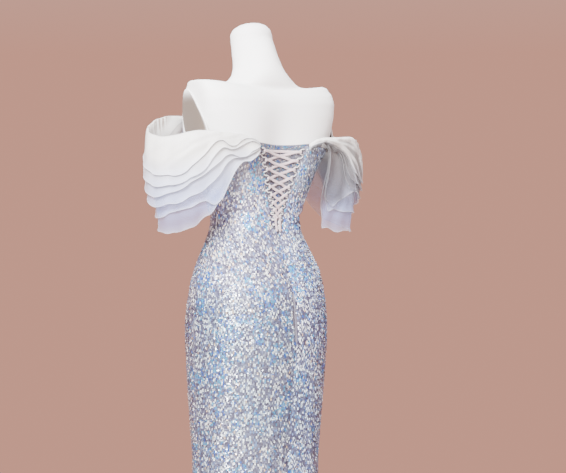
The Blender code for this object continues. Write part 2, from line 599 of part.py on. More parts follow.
def add_flounces(side, name):
    """Six tiers that hang from one line; each is short at both ends and deep at the arm."""
    tiers, puff = (LEFT_TIERS, LEFT_PUFF) if side > 0 else (RIGHT_TIERS, RIGHT_PUFF)
    line, outward, along = ring_line()
    from_end = np.minimum(along, along[-1] - along)
    free = np.clip((from_end - FREE_FROM) / FREE_OVER, 0, 1)
    free = free * free * (3 - 2 * free)
    depths = [smooth(along, np.array(PLACES), np.array(tier[1:])) for tier in tiers]
    rest = least_slope(line, outward, np.minimum(depths[-1], CLEAR_DEPTH)) * (1 - free)
    fold = WAVE * np.sin(along * 2 * math.pi / WAVE_LENGTH) * np.clip(from_end / WAVE_FROM, 0, 1)
    if side < 0:
        line[:, 2] -= RIGHT_RING_DROP * np.exp(-(((along - DROP_PLACE) / DROP_REACH) ** 2))
        fold = fold + smooth(along, np.array(PLACES), np.array(RIGHT_TUCK))
    for tier, depth in enumerate(depths):
        above = len(tiers) - 1 - tier
        slope = tiers[tier][0] * free + above * TIER_SPREAD * (1 - free) + rest + fold
        faces = []
        for wall in (0.0, FLOUNCE_WALL):
            rows = []
            for down in (depth * 0, np.minimum(PUFF_DEPTH, depths[0] * 0.5), depth):
                swell = puff * free * (1 - np.exp(-down / PUFF_DEPTH))
                out = FLOUNCE_IN + above * FLOUNCE_PITCH + wall + slope * down + swell
                point = line + outward * out[:, None]
                point[:, 2] -= down
                point[:, 0] *= side
                rows.append(point)
            faces.append(np.array(rows))
        add_wall(f"{name}_{tier + 1}", faces[0], faces[1], "organza")


# ---- dress form ---------------------------------------------------------------------------
def form_rings():
    """Rings of the torso from its foot to the slanted neck cap, closest at front and back."""
    even = np.radians(np.linspace(0, 360, FORM_SIDES, endpoint=False))
    turns = even + FORM_CROWDING * np.sin(2 * even)
    ease = FORM_EASE + FRONT_EASE * np.clip(-np.sin(turns), 0, 1)
    rings = [skin(turns, np.full(turns.shape, z), -ease) for z in FORM_ROWS]
    foot = [rings[0] * (share, share, 1) - (0, 0, drop) for share, drop in FORM_FOOT]
    for row in SHOULDERS:
        ring = dict(zip(SHOULDER_COLUMNS, row))
        x, y = section(turns, ring["half_width"], ring["back"], ring["front"],
                       ring["squareness"], ring["spine"], 0.0)
        share = np.sin(turns) ** SADDLE
        far = np.where(np.sin(turns) > 0, ring["back_height"], ring["front_height"])
        z = ring["side_height"] * (1 - share) + far * share
        rings.append(np.stack([x, y + ring["centre"], z], axis=-1))
    rings = np.array(foot + rings)
    cut = PLATE_X + PLATE_TURN * rings[..., 1]
    rings[..., 0] = np.clip(rings[..., 0], -cut, cut)
    return rings


def add_arm_plate(side, name):
    """A flat egg-shaped plate on the shoulder's cut, leaning forwards at its top."""
    turns = np.radians(np.linspace(0, 360, 22, endpoint=False))
    rings = []
    for share, x in PLATE_OUTLINE:
        high = PLATE_HALF_HEIGHT * share * np.sin(turns)
        half_depth = PLATE_HALF_DEPTH * share - PLATE_TAPER * high
        y = PLATE_SHIFT + half_depth * np.cos(turns) - PLATE_LEAN * high
        rings.append(np.stack([side * (PLATE_X + PLATE_TURN * y + x), y,
                               PLATE_CENTRE + high], axis=-1))
    add_stack(name, np.array(rings), "plate")


def turned(profile, sides):
    """Rings of a turned solid from a profile of radius and height."""
    turns = np.radians(np.linspace(0, 360, sides, endpoint=False))
    return np.array([np.stack([r * np.cos(turns), r * np.sin(turns),
                               np.full(turns.shape, z)], axis=-1) for r, z in profile])


def add_form():
    """Torso with its neck cap, arm plates, pole and weighted base."""
    add_stack("form_torso", form_rings(), "linen")
    add_arm_plate(1, "form_arm_plate_left")
    add_arm_plate(-1, "form_arm_plate_right")
    pole_top = FORM_ROWS[0] - FORM_FOOT[0][1] - SEAM_GAP
    pole_foot = BASE_COLLAR + SEAM_GAP
    add_stack("form_pole", turned(((POLE_RADIUS, pole_foot), (POLE_RADIUS, pole_top)), 20),
              "steel")
    add_stack("form_base", turned(BASE, 36), "base")


for old in list(bpy.data.objects):
    bpy.data.objects.remove(old, do_unlink=True)
add_form()
add_gown()
add_modesty()
add_loops(1, "lacing_loops_left")
add_loops(-1, "lacing_loops_right")
add_lace()
add_flounces(1, "flounce_left")
add_flounces(-1, "flounce_right")
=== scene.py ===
"""Looks of the off-the-shoulder evening gown with its laced back and flounce sleeves.

Metres, +Z up; the wearer faces -Y and the wearer's left is +X. Cloth is worked out as offsets
of one body surface, as the solids are, only finer: a point is a turn round the body, a height,
and a distance out from the skin.
"""

import math

import bpy
import numpy as np
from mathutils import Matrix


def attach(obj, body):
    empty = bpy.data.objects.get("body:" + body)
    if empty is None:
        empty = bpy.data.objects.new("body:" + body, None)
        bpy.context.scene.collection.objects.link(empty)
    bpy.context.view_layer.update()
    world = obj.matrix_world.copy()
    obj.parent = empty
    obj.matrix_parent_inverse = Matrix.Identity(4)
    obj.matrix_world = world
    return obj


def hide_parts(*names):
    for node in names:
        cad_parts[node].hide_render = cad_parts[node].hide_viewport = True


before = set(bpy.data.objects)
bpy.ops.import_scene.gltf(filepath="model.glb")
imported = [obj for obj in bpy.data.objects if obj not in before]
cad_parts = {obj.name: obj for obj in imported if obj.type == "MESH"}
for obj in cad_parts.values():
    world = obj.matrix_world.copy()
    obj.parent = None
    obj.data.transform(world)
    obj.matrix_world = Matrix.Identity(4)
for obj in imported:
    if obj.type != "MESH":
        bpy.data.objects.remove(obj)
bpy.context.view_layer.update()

# ---- sizes shared with the solids ---------------------------------------------------------
# How far the inner and the outer face of each cloth lie off the skin. Each tier of a sleeve
# lies FLOUNCE_NEAR outside the next lower one at its ring, and FLOUNCE_FAR more below it.
MODESTY_IN, MODESTY_OUT = 0.0004, 0.0014
GOWN_IN, GOWN_OUT = 0.0020, 0.0034
FLOUNCE_IN, FLOUNCE_NEAR, FLOUNCE_FAR, FLOUNCE_CLOTH = 0.0040, 0.0007, 0.0009, 0.0004
SEAM_GAP = 0.0004

HEM_HEIGHT = 0.018
SIDE_SEAM_TURN = math.radians(-6.0)
BUST_X, BUST_REACH = 0.084, 0.050
SPINE_REACH = 0.062
FRONT_SQUARENESS = 2.7

BODY_COLUMNS = ("height", "half_width", "back", "front", "squareness", "spine", "bust")
BODY = (
    (0.000, 0.250, 0.234, 0.222, 2.0, 0.0000, 0.0000),
    (0.090, 0.227, 0.207, 0.199, 2.0, 0.0000, 0.0000),
    (0.180, 0.202, 0.178, 0.174, 2.0, 0.0000, 0.0000),
    (0.270, 0.180, 0.151, 0.150, 2.1, 0.0000, 0.0000),
    (0.360, 0.163, 0.130, 0.132, 2.2, 0.0000, 0.0000),
    (0.440, 0.155, 0.120, 0.123, 2.2, 0.0000, 0.0000),
    (0.500, 0.154, 0.117, 0.121, 2.2, 0.0000, 0.0000),
    (0.585, 0.158, 0.122, 0.126, 2.2, 0.0000, 0.0000),
    (0.671, 0.163, 0.131, 0.132, 2.2, 0.0000, 0.0000),
    (0.757, 0.167, 0.141, 0.138, 2.2, 0.0000, 0.0000),
    (0.820, 0.169, 0.146, 0.141, 2.2, 0.0000, 0.0000),
    (0.870, 0.169, 0.142, 0.135, 2.2, 0.0000, 0.0000),
    (0.915, 0.165, 0.135, 0.124, 2.2, 0.0000, 0.0000),
    (0.957, 0.159, 0.124, 0.110, 2.2, 0.0000, 0.0000),
    (0.985, 0.150, 0.112, 0.102, 2.2, 0.0000, 0.0000),
    (1.014, 0.138, 0.099, 0.098, 2.1, 0.0000, 0.0000),
    (1.042, 0.124, 0.087, 0.095, 2.1, 0.0010, 0.0000),
    (1.070, 0.112, 0.080, 0.094, 2.1, 0.0020, 0.0000),
    (1.090, 0.109, 0.079, 0.092, 2.1, 0.0030, 0.0000),
    (1.118, 0.115, 0.084, 0.091, 2.2, 0.0060, 0.0010),
    (1.145, 0.124, 0.090, 0.092, 2.3, 0.0090, 0.0050),
    (1.171, 0.133, 0.095, 0.094, 2.4, 0.0130, 0.0140),
    (1.192, 0.141, 0.099, 0.096, 2.5, 0.0160, 0.0220),
    (1.214, 0.150, 0.103, 0.099, 2.6, 0.0190, 0.0290),
    (1.235, 0.160, 0.106, 0.102, 2.8, 0.0210, 0.0300),
    (1.257, 0.174, 0.109, 0.105, 3.0, 0.0220, 0.0250),
    (1.285, 0.185, 0.110, 0.104, 3.1, 0.0200, 0.0175),
    (1.320, 0.193, 0.110, 0.101, 3.3, 0.0150, 0.0090),
    (1.352, 0.198, 0.107, 0.092, 3.5, 0.0100, 0.0020),
)
SHOULDER_COLUMNS = (
    "half_width", "side_height", "centre", "back", "back_height", "front", "front_height",
    "squareness", "spine",
)
SHOULDERS = (
    (0.1980, 1.380, 0.003, 0.0980, 1.371, 0.0830, 1.380, 3.5, 0.0070),
    (0.1950, 1.400, 0.005, 0.0860, 1.383, 0.0730, 1.399, 3.0, 0.0040),
    (0.1890, 1.411, 0.005, 0.0770, 1.390, 0.0670, 1.409, 2.6, 0.0020),
    (0.1720, 1.410, 0.004, 0.0710, 1.395, 0.0610, 1.415, 2.4, 0.0),
    (0.1460, 1.405, 0.006, 0.0670, 1.402, 0.0570, 1.420, 2.3, 0.0),
    (0.1220, 1.404, 0.010, 0.0650, 1.410, 0.0550, 1.425, 2.2, 0.0),
    (0.1030, 1.408, 0.014, 0.0620, 1.420, 0.0560, 1.430, 2.1, 0.0),
    (0.0890, 1.415, 0.016, 0.0590, 1.433, 0.0560, 1.436, 2.1, 0.0),
    (0.0770, 1.425, 0.014, 0.0570, 1.448, 0.0550, 1.444, 2.0, 0.0),
    (0.0670, 1.438, 0.009, 0.0550, 1.464, 0.0530, 1.455, 2.0, 0.0),
    (0.0600, 1.456, 0.003, 0.0540, 1.481, 0.0510, 1.469, 2.0, 0.0),
    (0.0560, 1.477, -0.005, 0.0525, 1.498, 0.0495, 1.484, 2.0, 0.0),
    (0.0530, 1.500, -0.012, 0.0515, 1.512, 0.0485, 1.499, 2.0, 0.0),
    (0.0505, 1.520, -0.018, 0.0500, 1.524, 0.0480, 1.515, 2.0, 0.0),
    (0.0485, 1.535, -0.0185, 0.0480, 1.536, 0.0460, 1.531, 2.0, 0.0),
    (0.0380, 1.548, -0.0150, 0.0375, 1.548, 0.0370, 1.545, 2.0, 0.0),
    (0.0225, 1.5555, -0.0110, 0.0225, 1.5555, 0.0225, 1.554, 2.0, 0.0),
    (0.0100, 1.5580, -0.0100, 0.0100, 1.5580, 0.0100, 1.5575, 2.0, 0.0),
)
SADDLE = 4  # how sharply a shoulder ring's height passes from its sides' to its back's
# The torso takes the body's rings at these heights. Under them come its closing rings: the
# share of the lowest ring's width, and how far below it.
FORM_ROWS = (0.780, 0.860, 0.930, 0.985, 1.030, 1.062, 1.090, 1.118, 1.148, 1.185, 1.214,
             1.240, 1.262, 1.285, 1.320, 1.352)
FORM_FOOT = ((0.30, 0.032), (0.80, 0.032), (0.95, 0.018))
FORM_EASE, FRONT_EASE = 0.0003, 0.0010  # how far the cover stays inside the skin
FORM_SIDES, FORM_CROWD = 128, 0.22  # the cover's columns, and how they crowd back and front
END_SHARPNESS = 36.0  # how crisply the torso is cut off beside its plates
# An arm plate is an egg that leans forwards at its top; its x grows with y by PLATE_TURN.
PLATE_X, PLATE_TURN = 0.1865, 0.12
PLATE_WALL, PLATE_CENTRE, PLATE_HALF_DEPTH, PLATE_HALF_HEIGHT = 0.003, 1.324, 0.0445, 0.070
PLATE_SHIFT, PLATE_LEAN, PLATE_TAPER = 0.003, 0.42, 0.20
PLATE_BEND, PLATE_BEND_FROM = 5.0, 0.020  # how its rear bends to the torso, and from where
# The torso's ends take the plates' beige and painted shade between these heights.
END_BEIGE_SHADE_LOW, END_BEIGE_SHADE_HIGH = 1.262, 1.406  # heights of the plates' cloth on the torso's ends

STAND_RADIUS = 0.1  # roughly, for the stand's cloth map
# Profiles of radius and height.
BASE_PROFILE = (
    (0.150, 0.0), (0.172, 0.0), (0.1744, 0.0010), (0.175, 0.003), (0.175, 0.009),
    (0.1742, 0.0108), (0.171, 0.012), (0.130, 0.0165), (0.060, 0.023), (0.036, 0.0255),
    (0.032, 0.026), (0.0290, 0.0282), (0.028, 0.0315), (0.0275, 0.0338), (0.022, 0.034),
)
POLE_PROFILE = (
    (0.0120, 0.0344), (0.0161, 0.0344), (0.0165, 0.0348), (0.0165, 0.380), (0.0165, 0.7470),
    (0.0161, 0.7476), (0.0120, 0.7476),
)

NECKLINE_COLUMNS = ("turn", "height")
NECKLINE = (
    (-90, 1.318), (-75, 1.321), (-60, 1.331), (-50, 1.328), (-38, 1.293), (-25, 1.257),
    (-5, 1.242), (15, 1.242), (30, 1.250), (50, 1.261), (65, 1.263), (90, 1.262),
)
V_COLUMNS = ("height", "half_opening")
V_EDGE = (
    (1.062, 0.0002), (1.070, 0.0120), (1.082, 0.0148), (1.113, 0.0200), (1.130, 0.0255),
    (1.167, 0.0380), (1.208, 0.0508), (1.250, 0.0640), (1.290, 0.0760),
)
V_FOOT = 1.062
MODESTY_FOOT, MODESTY_TOP, MODESTY_MARGIN = 1.030, 1.270, 0.018
MODESTY_DIP, MODESTY_DIP_FROM = 0.006, 1.20

LOOP_HEIGHTS = (1.249, 1.228, 1.207, 1.186, 1.166, 1.147, 1.129, 1.112, 1.096, 1.083, 1.0715)
LACED_HEIGHTS = LOOP_HEIGHTS[:9]  # the lace's ends lie over the loops below these
LOOP_CORD, LOOP_REACH, LOOP_HALF_HEIGHT = 0.0012, 0.0094, 0.0060
LOOP_ROOT = 0.0016  # how far its two roots go in under the V's edge
LOOP_SHOULDER, LOOP_TIP = 0.0034, 0.0004
LOOP_DROP, LOOP_CHAMFER = 0.0003, 0.0017
LOOP_STEP, LOOP_SIDES = 0.0011, 8  # how finely the loops' cord is made
LACE_WIDTH, LACE_WALL, LACE_EASE, LACE_STEPS = 0.0060, 0.0009, 0.0014, 800
# Half of the lace's section, as shares of its half width and half wall, from side to side.
LACE_SECTION = ((-1, 0.5), (-0.55, 1), (0, 1), (0.55, 1), (1, 0.5))
LACE_LOW = MODESTY_OUT + LACE_EASE + LACE_WALL / 2
LOOP_LIFT = LACE_LOW + LACE_WALL / 2 + SEAM_GAP + LOOP_CORD
LACE_HIGH = LOOP_LIFT + LOOP_CORD + SEAM_GAP + LACE_WALL / 2
LACE_OVER, LACE_UNDER = 0.0064, 0.0044  # lifts of the two strands where they cross
STRAND_SHARES = (0.28, 0.50, 0.68)
# How far before a loop's tip the lace lies flat, and the same where the V is narrow.
ARRIVING, ARRIVING_NARROW, NARROW = 0.0040, 0.0022, 0.012
# Round a loop the lace goes by these distances beyond the tip and lifts.
WRAP = (
    (0.0, LACE_LOW), (0.0021, LACE_LOW + 0.0002), (0.0027, LOOP_LIFT), (0.0021, LACE_HIGH),
    (0.0, LACE_HIGH), (-0.0018, LACE_HIGH),
)
TOP_BAR = (0.030, 0.0, -0.030)
TAIL_LIFT = 0.0076
# A free end: x past the loop's tip and then from the middle, drop below the loop, and lift.
TAIL = (
    (-0.0012, 0.010, TAIL_LIFT), (0.0056, 0.017, TAIL_LIFT), (0.0052, 0.026, TAIL_LIFT),
    (0.0046, 0.034, TAIL_LIFT - 0.0006),
)

# The line that a sleeve hangs from: on the back, free round the arm, and on the front.
RING_ON_BACK = ((0.076, 1.268), (0.090, 1.277), (0.110, 1.283))
RING_FREE = (
    (0.142, 0.101, 1.286), (0.176, 0.096, 1.288), (0.209, 0.085, 1.291), (0.242, 0.065, 1.288),
    (0.270, 0.036, 1.279), (0.285, 0.001, 1.281), (0.279, -0.034, 1.296),
    (0.253, -0.057, 1.314), (0.217, -0.071, 1.328), (0.180, -0.079, 1.334),
    (0.150, -0.0835, 1.334),
)
RING_ON_FRONT = ((0.122, 1.333), (0.103, 1.332), (0.086, 1.329))
RING_STEPS, FINE_RING_STEPS = 31, 260
# The right ring hangs lower at the arm: how much, how far along it, and its half width.
RIGHT_RING_DROP, RING_DROP_PLACE, RING_DROP_REACH = 0.008, 0.22, 0.06
# A tier's row is its lean, and then its depth at each of these places along the ring.
PLACES = (0.0, 0.030, 0.060, 0.085, 0.110, 0.140, 0.180, 0.230, 0.290, 0.360, 0.420, 0.519)
LEFT_TIERS = (
    (0.020, 0.003, 0.006, 0.016, 0.030, 0.019, 0.046, 0.084, 0.088, 0.076, 0.040, 0.014, 0.005),
    (0.028, 0.006, 0.013, 0.027, 0.038, 0.038, 0.081, 0.106, 0.112, 0.104, 0.052, 0.018, 0.007),
    (0.010, 0.009, 0.036, 0.054, 0.049, 0.066, 0.094, 0.118, 0.131, 0.132, 0.064, 0.022, 0.009),
    (-0.016, 0.012, 0.041, 0.056, 0.062, 0.095, 0.128, 0.149, 0.155, 0.154, 0.078, 0.026, 0.011),
    (-0.100, 0.018, 0.057, 0.071, 0.118, 0.160, 0.161, 0.172, 0.173, 0.187, 0.096, 0.032, 0.013),
    (-0.105, 0.014, 0.050, 0.066, 0.108, 0.163, 0.197, 0.218, 0.219, 0.222, 0.205, 0.150, 0.030),
)
RIGHT_TIERS = (
    (0.010, 0.006, 0.010, 0.012, 0.026, 0.036, 0.066, 0.092, 0.086, 0.080, 0.040, 0.014, 0.005),
    (0.012, 0.008, 0.012, 0.014, 0.029, 0.040, 0.086, 0.108, 0.106, 0.100, 0.052, 0.018, 0.007),
    (-0.010, 0.010, 0.014, 0.016, 0.032, 0.044, 0.100, 0.124, 0.126, 0.126, 0.064, 0.022, 0.009),
    (-0.030, 0.012, 0.016, 0.019, 0.096, 0.158, 0.150, 0.124, 0.132, 0.146, 0.078, 0.026, 0.011),
    (-0.075, 0.014, 0.018, 0.022, 0.086, 0.160, 0.174, 0.172, 0.160, 0.168, 0.096, 0.032, 0.013),
    (-0.085, 0.016, 0.020, 0.026, 0.086, 0.186, 0.220, 0.218, 0.207, 0.212, 0.205, 0.150, 0.030),
)
# How the right sleeve is tucked under the arm: a lean at each place.
RIGHT_TUCK = (0.0, 0.0, -0.10, -0.26, -0.26, -0.20, -0.10, -0.02, 0.0, 0.0, 0.0, 0.0)
FREE_FROM, FREE_OVER = 0.090, 0.070  # how far from the ring's ends a tier hangs free
TIER_SPREAD, TIER_EASE = 0.030, 0.012  # how the tiers fan out, and part below the ring
LEFT_PUFF, RIGHT_PUFF, PUFF_DEPTH = 0.001, 0.014, 0.030  # how the free cloth swells outwards
WAVE, WAVE_LENGTH, WAVE_FROM = 0.014, 0.083, 0.12  # a lean that waves along the ring
# At the ring's ends the lean is found in steps down to a depth, so that it clears the body.
CLEAR_STEPS, CLEAR_DEPTH, LEAST_LEAN = 8, 0.12, -0.10
UNEVEN, UNEVEN_LENGTH = 0.006, 0.060  # a hand's small unevenness in a tier's depth

# ---- cloth's own small forms, made here alone ---------------------------------------------
# On the organza: gathers under the ring, a flutter towards the hem, and the hem's roll.
GATHER, GATHER_LENGTH, GATHER_DEPTH = 0.0004, 0.0075, 0.014
FLUTTER, FLUTTER_LENGTH, FLUTTER_FULL = 0.0009, 0.060, 0.12
ROLL_DEPTH, ROLL, SLEEVE_ROWS = 0.0011, 0.0005, 24
FLARE_REACH, FLARE, FLARE_FULL = 0.016, 0.0030, 0.03  # how a hem stands off the next tier
GATHERED = 1.15  # how much longer a flounce is cut than its ring
# Folds that sweep down a sleeve: where along the ring each starts, and its path from there.
FOLD_COLUMNS = ("start", "drop", "fall", "bend", "half_width", "rise")
LEFT_FOLDS = (
    (0.060, 0.004, 0.030, 1.6, 0.0050, 0.0020), (0.100, 0.002, 0.034, 1.5, 0.0060, 0.0022),
    (0.035, 0.012, 0.020, 1.7, 0.0050, 0.0016), (0.150, 0.000, 0.050, 1.4, 0.0080, 0.0018),
    (0.215, 0.000, 0.070, 1.2, 0.0090, 0.0016),
)
RIGHT_FOLDS = (
    (0.006, 0.003, 0.012, 1.9, 0.0026, 0.0030), (0.030, 0.006, 0.030, 2.1, 0.0030, 0.0036),
    (0.050, 0.010, 0.056, 2.5, 0.0036, 0.0046), (0.075, 0.004, 0.027, 3.2, 0.0038, 0.0046),
    (0.110, 0.002, 0.030, 2.6, 0.0044, 0.0042), (0.128, 0.000, 0.090, 2.2, 0.0046, 0.0036),
)
FOLD_UNIT, FOLD_GROWS = 0.1, 4  # the run that a path is counted in, and how a fold widens
FOLD_START, FOLD_END, FOLD_FADE = 0.015, 0.20, 0.06  # the lengths over which it comes and goes
# The lowest tier has the least of the folds, each tier above it more, and hems lose a share.
FOLD_LEAST, FOLD_MORE, FOLD_LOSES = 0.35, 0.13, 0.7
# Painted shade lies between the folds of the right sleeve's upper tiers.
FOLDED_TIERS = 3  # the upper tiers of the right sleeve are grey between their folds
INNER_SHADE, FOLD_SHADE, TUCK_SHADE = 0.85, 0.74, 0.82

# Creases of the gown: soft ridges where rise is above nothing, and troughs where it is below.
CREASE_COLUMNS = ("turn", "height", "tilt", "half_length", "half_width", "rise")
CREASES = (
    (28, 1.118, 12, 0.036, 0.0045, 0.0030), (26, 1.108, 8, 0.040, 0.0040, -0.0012),
    (34, 1.135, -16, 0.030, 0.0050, 0.0020), (22, 1.090, 4, 0.030, 0.0050, 0.0024),
    (152, 1.112, -10, 0.030, 0.0045, 0.0026), (148, 1.100, -4, 0.034, 0.0040, -0.0012),
    (156, 1.082, 8, 0.026, 0.0050, 0.0022), (60, 1.045, 24, 0.034, 0.0060, 0.0018),
    (102, 0.936, -58, 0.016, 0.0050, 0.0034), (104, 0.926, -50, 0.016, 0.0036, -0.0012),
    (99, 0.955, -70, 0.022, 0.0045, 0.0022), (84, 0.985, 62, 0.030, 0.0060, 0.0016),
    (40, 0.955, -38, 0.050, 0.0080, 0.0016), (135, 0.960, 36, 0.050, 0.0080, 0.0016),
    (92, 0.862, 88, 0.040, 0.0036, -0.0030), (30, 1.112, 10, 0.034, 0.0030, -0.0016),
    (20, 0.560, 70, 0.090, 0.0120, 0.0022), (70, 0.520, 80, 0.110, 0.0120, 0.0018),
    (118, 0.540, 100, 0.100, 0.0110, 0.0020), (165, 0.600, 82, 0.080, 0.0120, 0.0018),
    (-30, 1.110, -12, 0.034, 0.0045, 0.0028), (-33, 1.098, -6, 0.036, 0.0040, -0.0012),
    (-150, 1.116, 12, 0.032, 0.0045, 0.0026), (-146, 1.092, 4, 0.030, 0.0050, 0.0022),
    (-75, 1.072, 10, 0.040, 0.0060, 0.0016), (-110, 1.064, -12, 0.036, 0.0060, 0.0015),
    (-60, 0.960, 34, 0.050, 0.0080, 0.0014), (-122, 0.955, -34, 0.050, 0.0080, 0.0014),
    (-50, 0.540, 82, 0.100, 0.0120, 0.0020), (-90, 0.500, 96, 0.120, 0.0130, 0.0016),
    (-128, 0.560, 76, 0.090, 0.0120, 0.0020), (-20, 0.300, 84, 0.140, 0.0180, 0.0030),
    (45, 0.260, 92, 0.150, 0.0200, 0.0034), (100, 0.240, 86, 0.150, 0.0190, 0.0030),
    (150, 0.280, 96, 0.140, 0.0180, 0.0032), (-65, 0.250, 94, 0.150, 0.0190, 0.0030),
    (-115, 0.270, 86, 0.150, 0.0190, 0.0032), (-158, 0.250, 92, 0.140, 0.0180, 0.0028),
)
CREASE_BOW = 0.12  # how far a crease's ends curve up, as a share of its half length
SEAM_ROLL, SEAM_ROLL_REACH = 0.0011, 0.0035  # how the cloth turns in at a seam

# Each panel: its piece, its solid, its side (0 is the front), its columns of points, the
# painted light on its discs, and how many corners they have. The right back, turned away
# from the key lamp, has its discs painted brighter.
PANEL_ROWS = 160
PANELS = (
    ("gown_front", "front_panel", 0, 110, 1.04, 5),
    ("gown_back_left", "back_panel_left", 1, 56, 1.0, 6),
    ("gown_back_right", "back_panel_right", -1, 56, 1.52, 6),
)
# Painted shade: the placket's discs lie in shade under the lacing, so are painted darker.
PLACKET_PAINTED_SHADE = 0.60

# ---- sequins ------------------------------------------------------------------------------
SEQUIN_ACROSS, SEQUIN_ALONG, SEQUIN_RADIUS = 0.0037, 0.0031, 0.0019
SEQUIN_TILT, SEQUIN_SCATTER = 0.22, 0.19
SEQUIN_LIFT, PLACKET_SEQUIN_LIFT = 0.0007, 0.0003
SEQUIN_LOW, SEQUIN_HIGH = HEM_HEIGHT + 0.002, 1.330
ROW_WAVER, ROW_JITTER, PLACKET_WAVER = 0.00035, 0.0003, 0.0004
OUT_OF_TURN = 0.16  # share of the disc pairs that break the change of bright and dull
FRONT_MARGIN, BACK_MARGIN = 0.0018, 0.0016  # room between the discs and a panel's edge
PLACKET_SIDE, PLACKET_ROOF, PLACKET_FLOOR = 0.0005, 0.002, 0.010  # and round the placket's
SIDE_RADIUS, BACK_RADIUS = 0.14, 0.085  # roughly, to read a turn there as a distance
# The discs close over the middle back seam, but for a slit at the seat.
SEAM_COVER, SLIT, SLIT_HEIGHT, SLIT_REACH = 0.0014, 0.0030, 0.862, 0.045

# A disc's place across is counted this far off for each panel, so that no two panels share a
# pattern: the front lies within 1 m of nothing, the backs 2 m out on their own sides, and the
# placket 9 m out.
PANEL_APART, PLACKET_APART = 2, 9.0

# Screen values from the brightest to the dullest, and the share of the discs that has each:
# on plain silver, and inside a blue patch. The glints come first. The tints are partly the
# sequins' own silver and blue, and partly painted: the glints are painted reflections, and
# the darker greys painted shade.
TINTS_AND_GLINTS = (
    (8, 90, 188), (50, 160, 208), (250, 206, 172), (255, 255, 255), (204, 208, 220),
    (120, 152, 206), (132, 135, 166), (104, 103, 134), (84, 81, 110), (68, 59, 88),
)
SILVER_SHARES = (0.006, 0.014, 0.018, 0.180, 0.100, 0.070, 0.160, 0.210, 0.200, 0.042)
BLUE_SHARES = (0.180, 0.240, 0.010, 0.110, 0.060, 0.120, 0.110, 0.090, 0.060, 0.020)
BLUE_GLINTS, WHITE = 2, 3  # how many of the tints are blue glints, and the white one's place
# On the bodice all discs but the blue ones are drawn a share towards one grey.
UPPER_GREY, CALM, BODICE_FROM, BODICE_OVER = (150, 151, 162), 0.42, 1.13, 0.05
# Discs turn blue where the noise passes BLUE_FROM, and a higher mark above the hips.
BLUE_FROM, BLUE_OVER, BLUE_RARER, RARER_FROM, RARER_OVER = 0.545, 0.11, 0.045, 0.99, 0.05
TOP_EDGE, TOP_EDGE_BLUE = 0.016, 0.8  # the depth of the placket's blue edge, and how blue
# Painted light and shade on the discs: the skirt's level, painted darker below the seat;
# the light painted on from the seat up; and the painted highlights that bells of height add
# round the waist.
SKIRT_PAINTED_SHADE, SEAT_PAINTED_LIGHT, SEAT_FROM, SEAT_OVER = 0.60, 0.30, 0.88, 0.05
WAIST_PAINTED_HIGHLIGHTS = ((0.20, 1.04, 0.07), (0.36, 1.112, 0.030))
# Painted shade in the troughs of the creases.
TROUGH_PAINTED_SHADE = 60  # brightness lost for each metre of a trough
# Random spread of each disc's brightness; white discs, painted glints, keep WHITE_LEAST.
SHADE_LEAST, SHADE_SPREAD, WHITE_LEAST = 0.88, 0.24, 0.80
# Cooler discs: from the hips down on both backs, in patches, and all over the right back,
# where the cooling is painted cool light on the side turned away from the key lamp; how
# much of their red and green goes, and what the right back's skirt gains in blue as painted
# light.
HIPS, HIPS_OVER = 0.98, 0.10
COOL_LEAST, COOL_SIZE, COOL_SEED, COOL_RIGHT = 0.3, 0.090, 17, 0.85
COOL_RED, COOL_GREEN, RIGHT_BLUE = 0.24, 0.08, 0.10
# The noise of the blue patches: its shift across, its stretch upwards, size, seed and weight.
BLUE_NOISE = (
    (3.1, 1.0, 0.060, 5, 0.42), (7.7, 0.8, 0.016, 9, 0.36), (1.3, 1.0, 0.006, 13, 0.22),
)

# ---- weaves: threads, ribs and turns of the cord a metre ----------------------------------
NET_THREADS, ORGANZA_THREADS, LINEN_THREADS, SATIN_RIBS = 420.0, 1500.0, 900.0, 1400.0
CORD_TURNS = 420.0
CORD_SLANT = 2.0 / CORD_TURNS  # metres along the cord that a turn gains in going round once

# ---- light and camera ---------------------------------------------------------------------
WALL_LIGHT, CEILING_LIGHT = (0.74, 0.35, 0.262, 1.0), (1.0, 1.0, 1.04, 1.0)
# The lamps: name, then metres towards the viewer, to the viewer's right and up, size and power.
LAMPS = (
    ("key", 2.7, -0.9, 2.8, 1.0, 530.0), ("fill", 3.0, 1.8, 1.2, 2.0, 60.0),
    ("behind", -2.4, 0.6, 2.6, 2.0, 60.0), ("overhead", 0.5, -0.3, 3.8, 1.4, 70.0),
)
LAMP_TARGET = (0.0, 0.0, 1.0)
CEILING_FROM, CEILING_FULL = 0.10, 0.70  # how steeply a ray rises where the light turns paler
FLOOR_REACH, FLOOR_FADE = 3.4, 2.2  # the floor's size, and how wide its edge clears away

CAMERA_TURN = math.radians(142.0)
CAMERA_DISTANCE, CAMERA_HEIGHT = 4.3, 1.05
FOCAL_PIXELS, FRAME_PIXELS, OFF_CENTRE = 1806.0, 566.0, 27.0


# ---- the body surface ---------------------------------------------------------------------
def column(table, names, name):
    """One named column of a table."""
    return np.array([row[names.index(name)] for row in table], float)


def smooth(at, knots, values):
    """Cubic through rows of values: each piece blends the two end tangents with 3t2 - 2t3."""
    slopes = np.gradient(values, knots, axis=0)
    at = np.clip(at, knots[0], knots[-1])
    i = np.clip(np.searchsorted(knots, at) - 1, 0, len(knots) - 2)
    step = knots[i + 1] - knots[i]
    t = (at - knots[i]) / step
    if values.ndim > 1:
        step, t = step[:, None], t[:, None]
    start = values[i] + t * step * slopes[i]
    end = values[i + 1] - (1 - t) * step * slopes[i + 1]
    ease = t * t * (3 - 2 * t)
    return start * (1 - ease) + end * ease


def ramp(value, start, over):
    """From 0 at start to 1 at start + over: (value - start) / over, held between the two."""
    return np.clip((value - start) / over, 0, 1)


def bell(value, middle, half_width):
    """A bell curve: exp(-((value - middle) / half_width)^2)."""
    return np.exp(-(((value - middle) / half_width) ** 2))


def body(name, height):
    """A body measure at a height, read smoothly from its table."""
    return smooth(height, column(BODY, BODY_COLUMNS, "height"), column(BODY, BODY_COLUMNS, name))


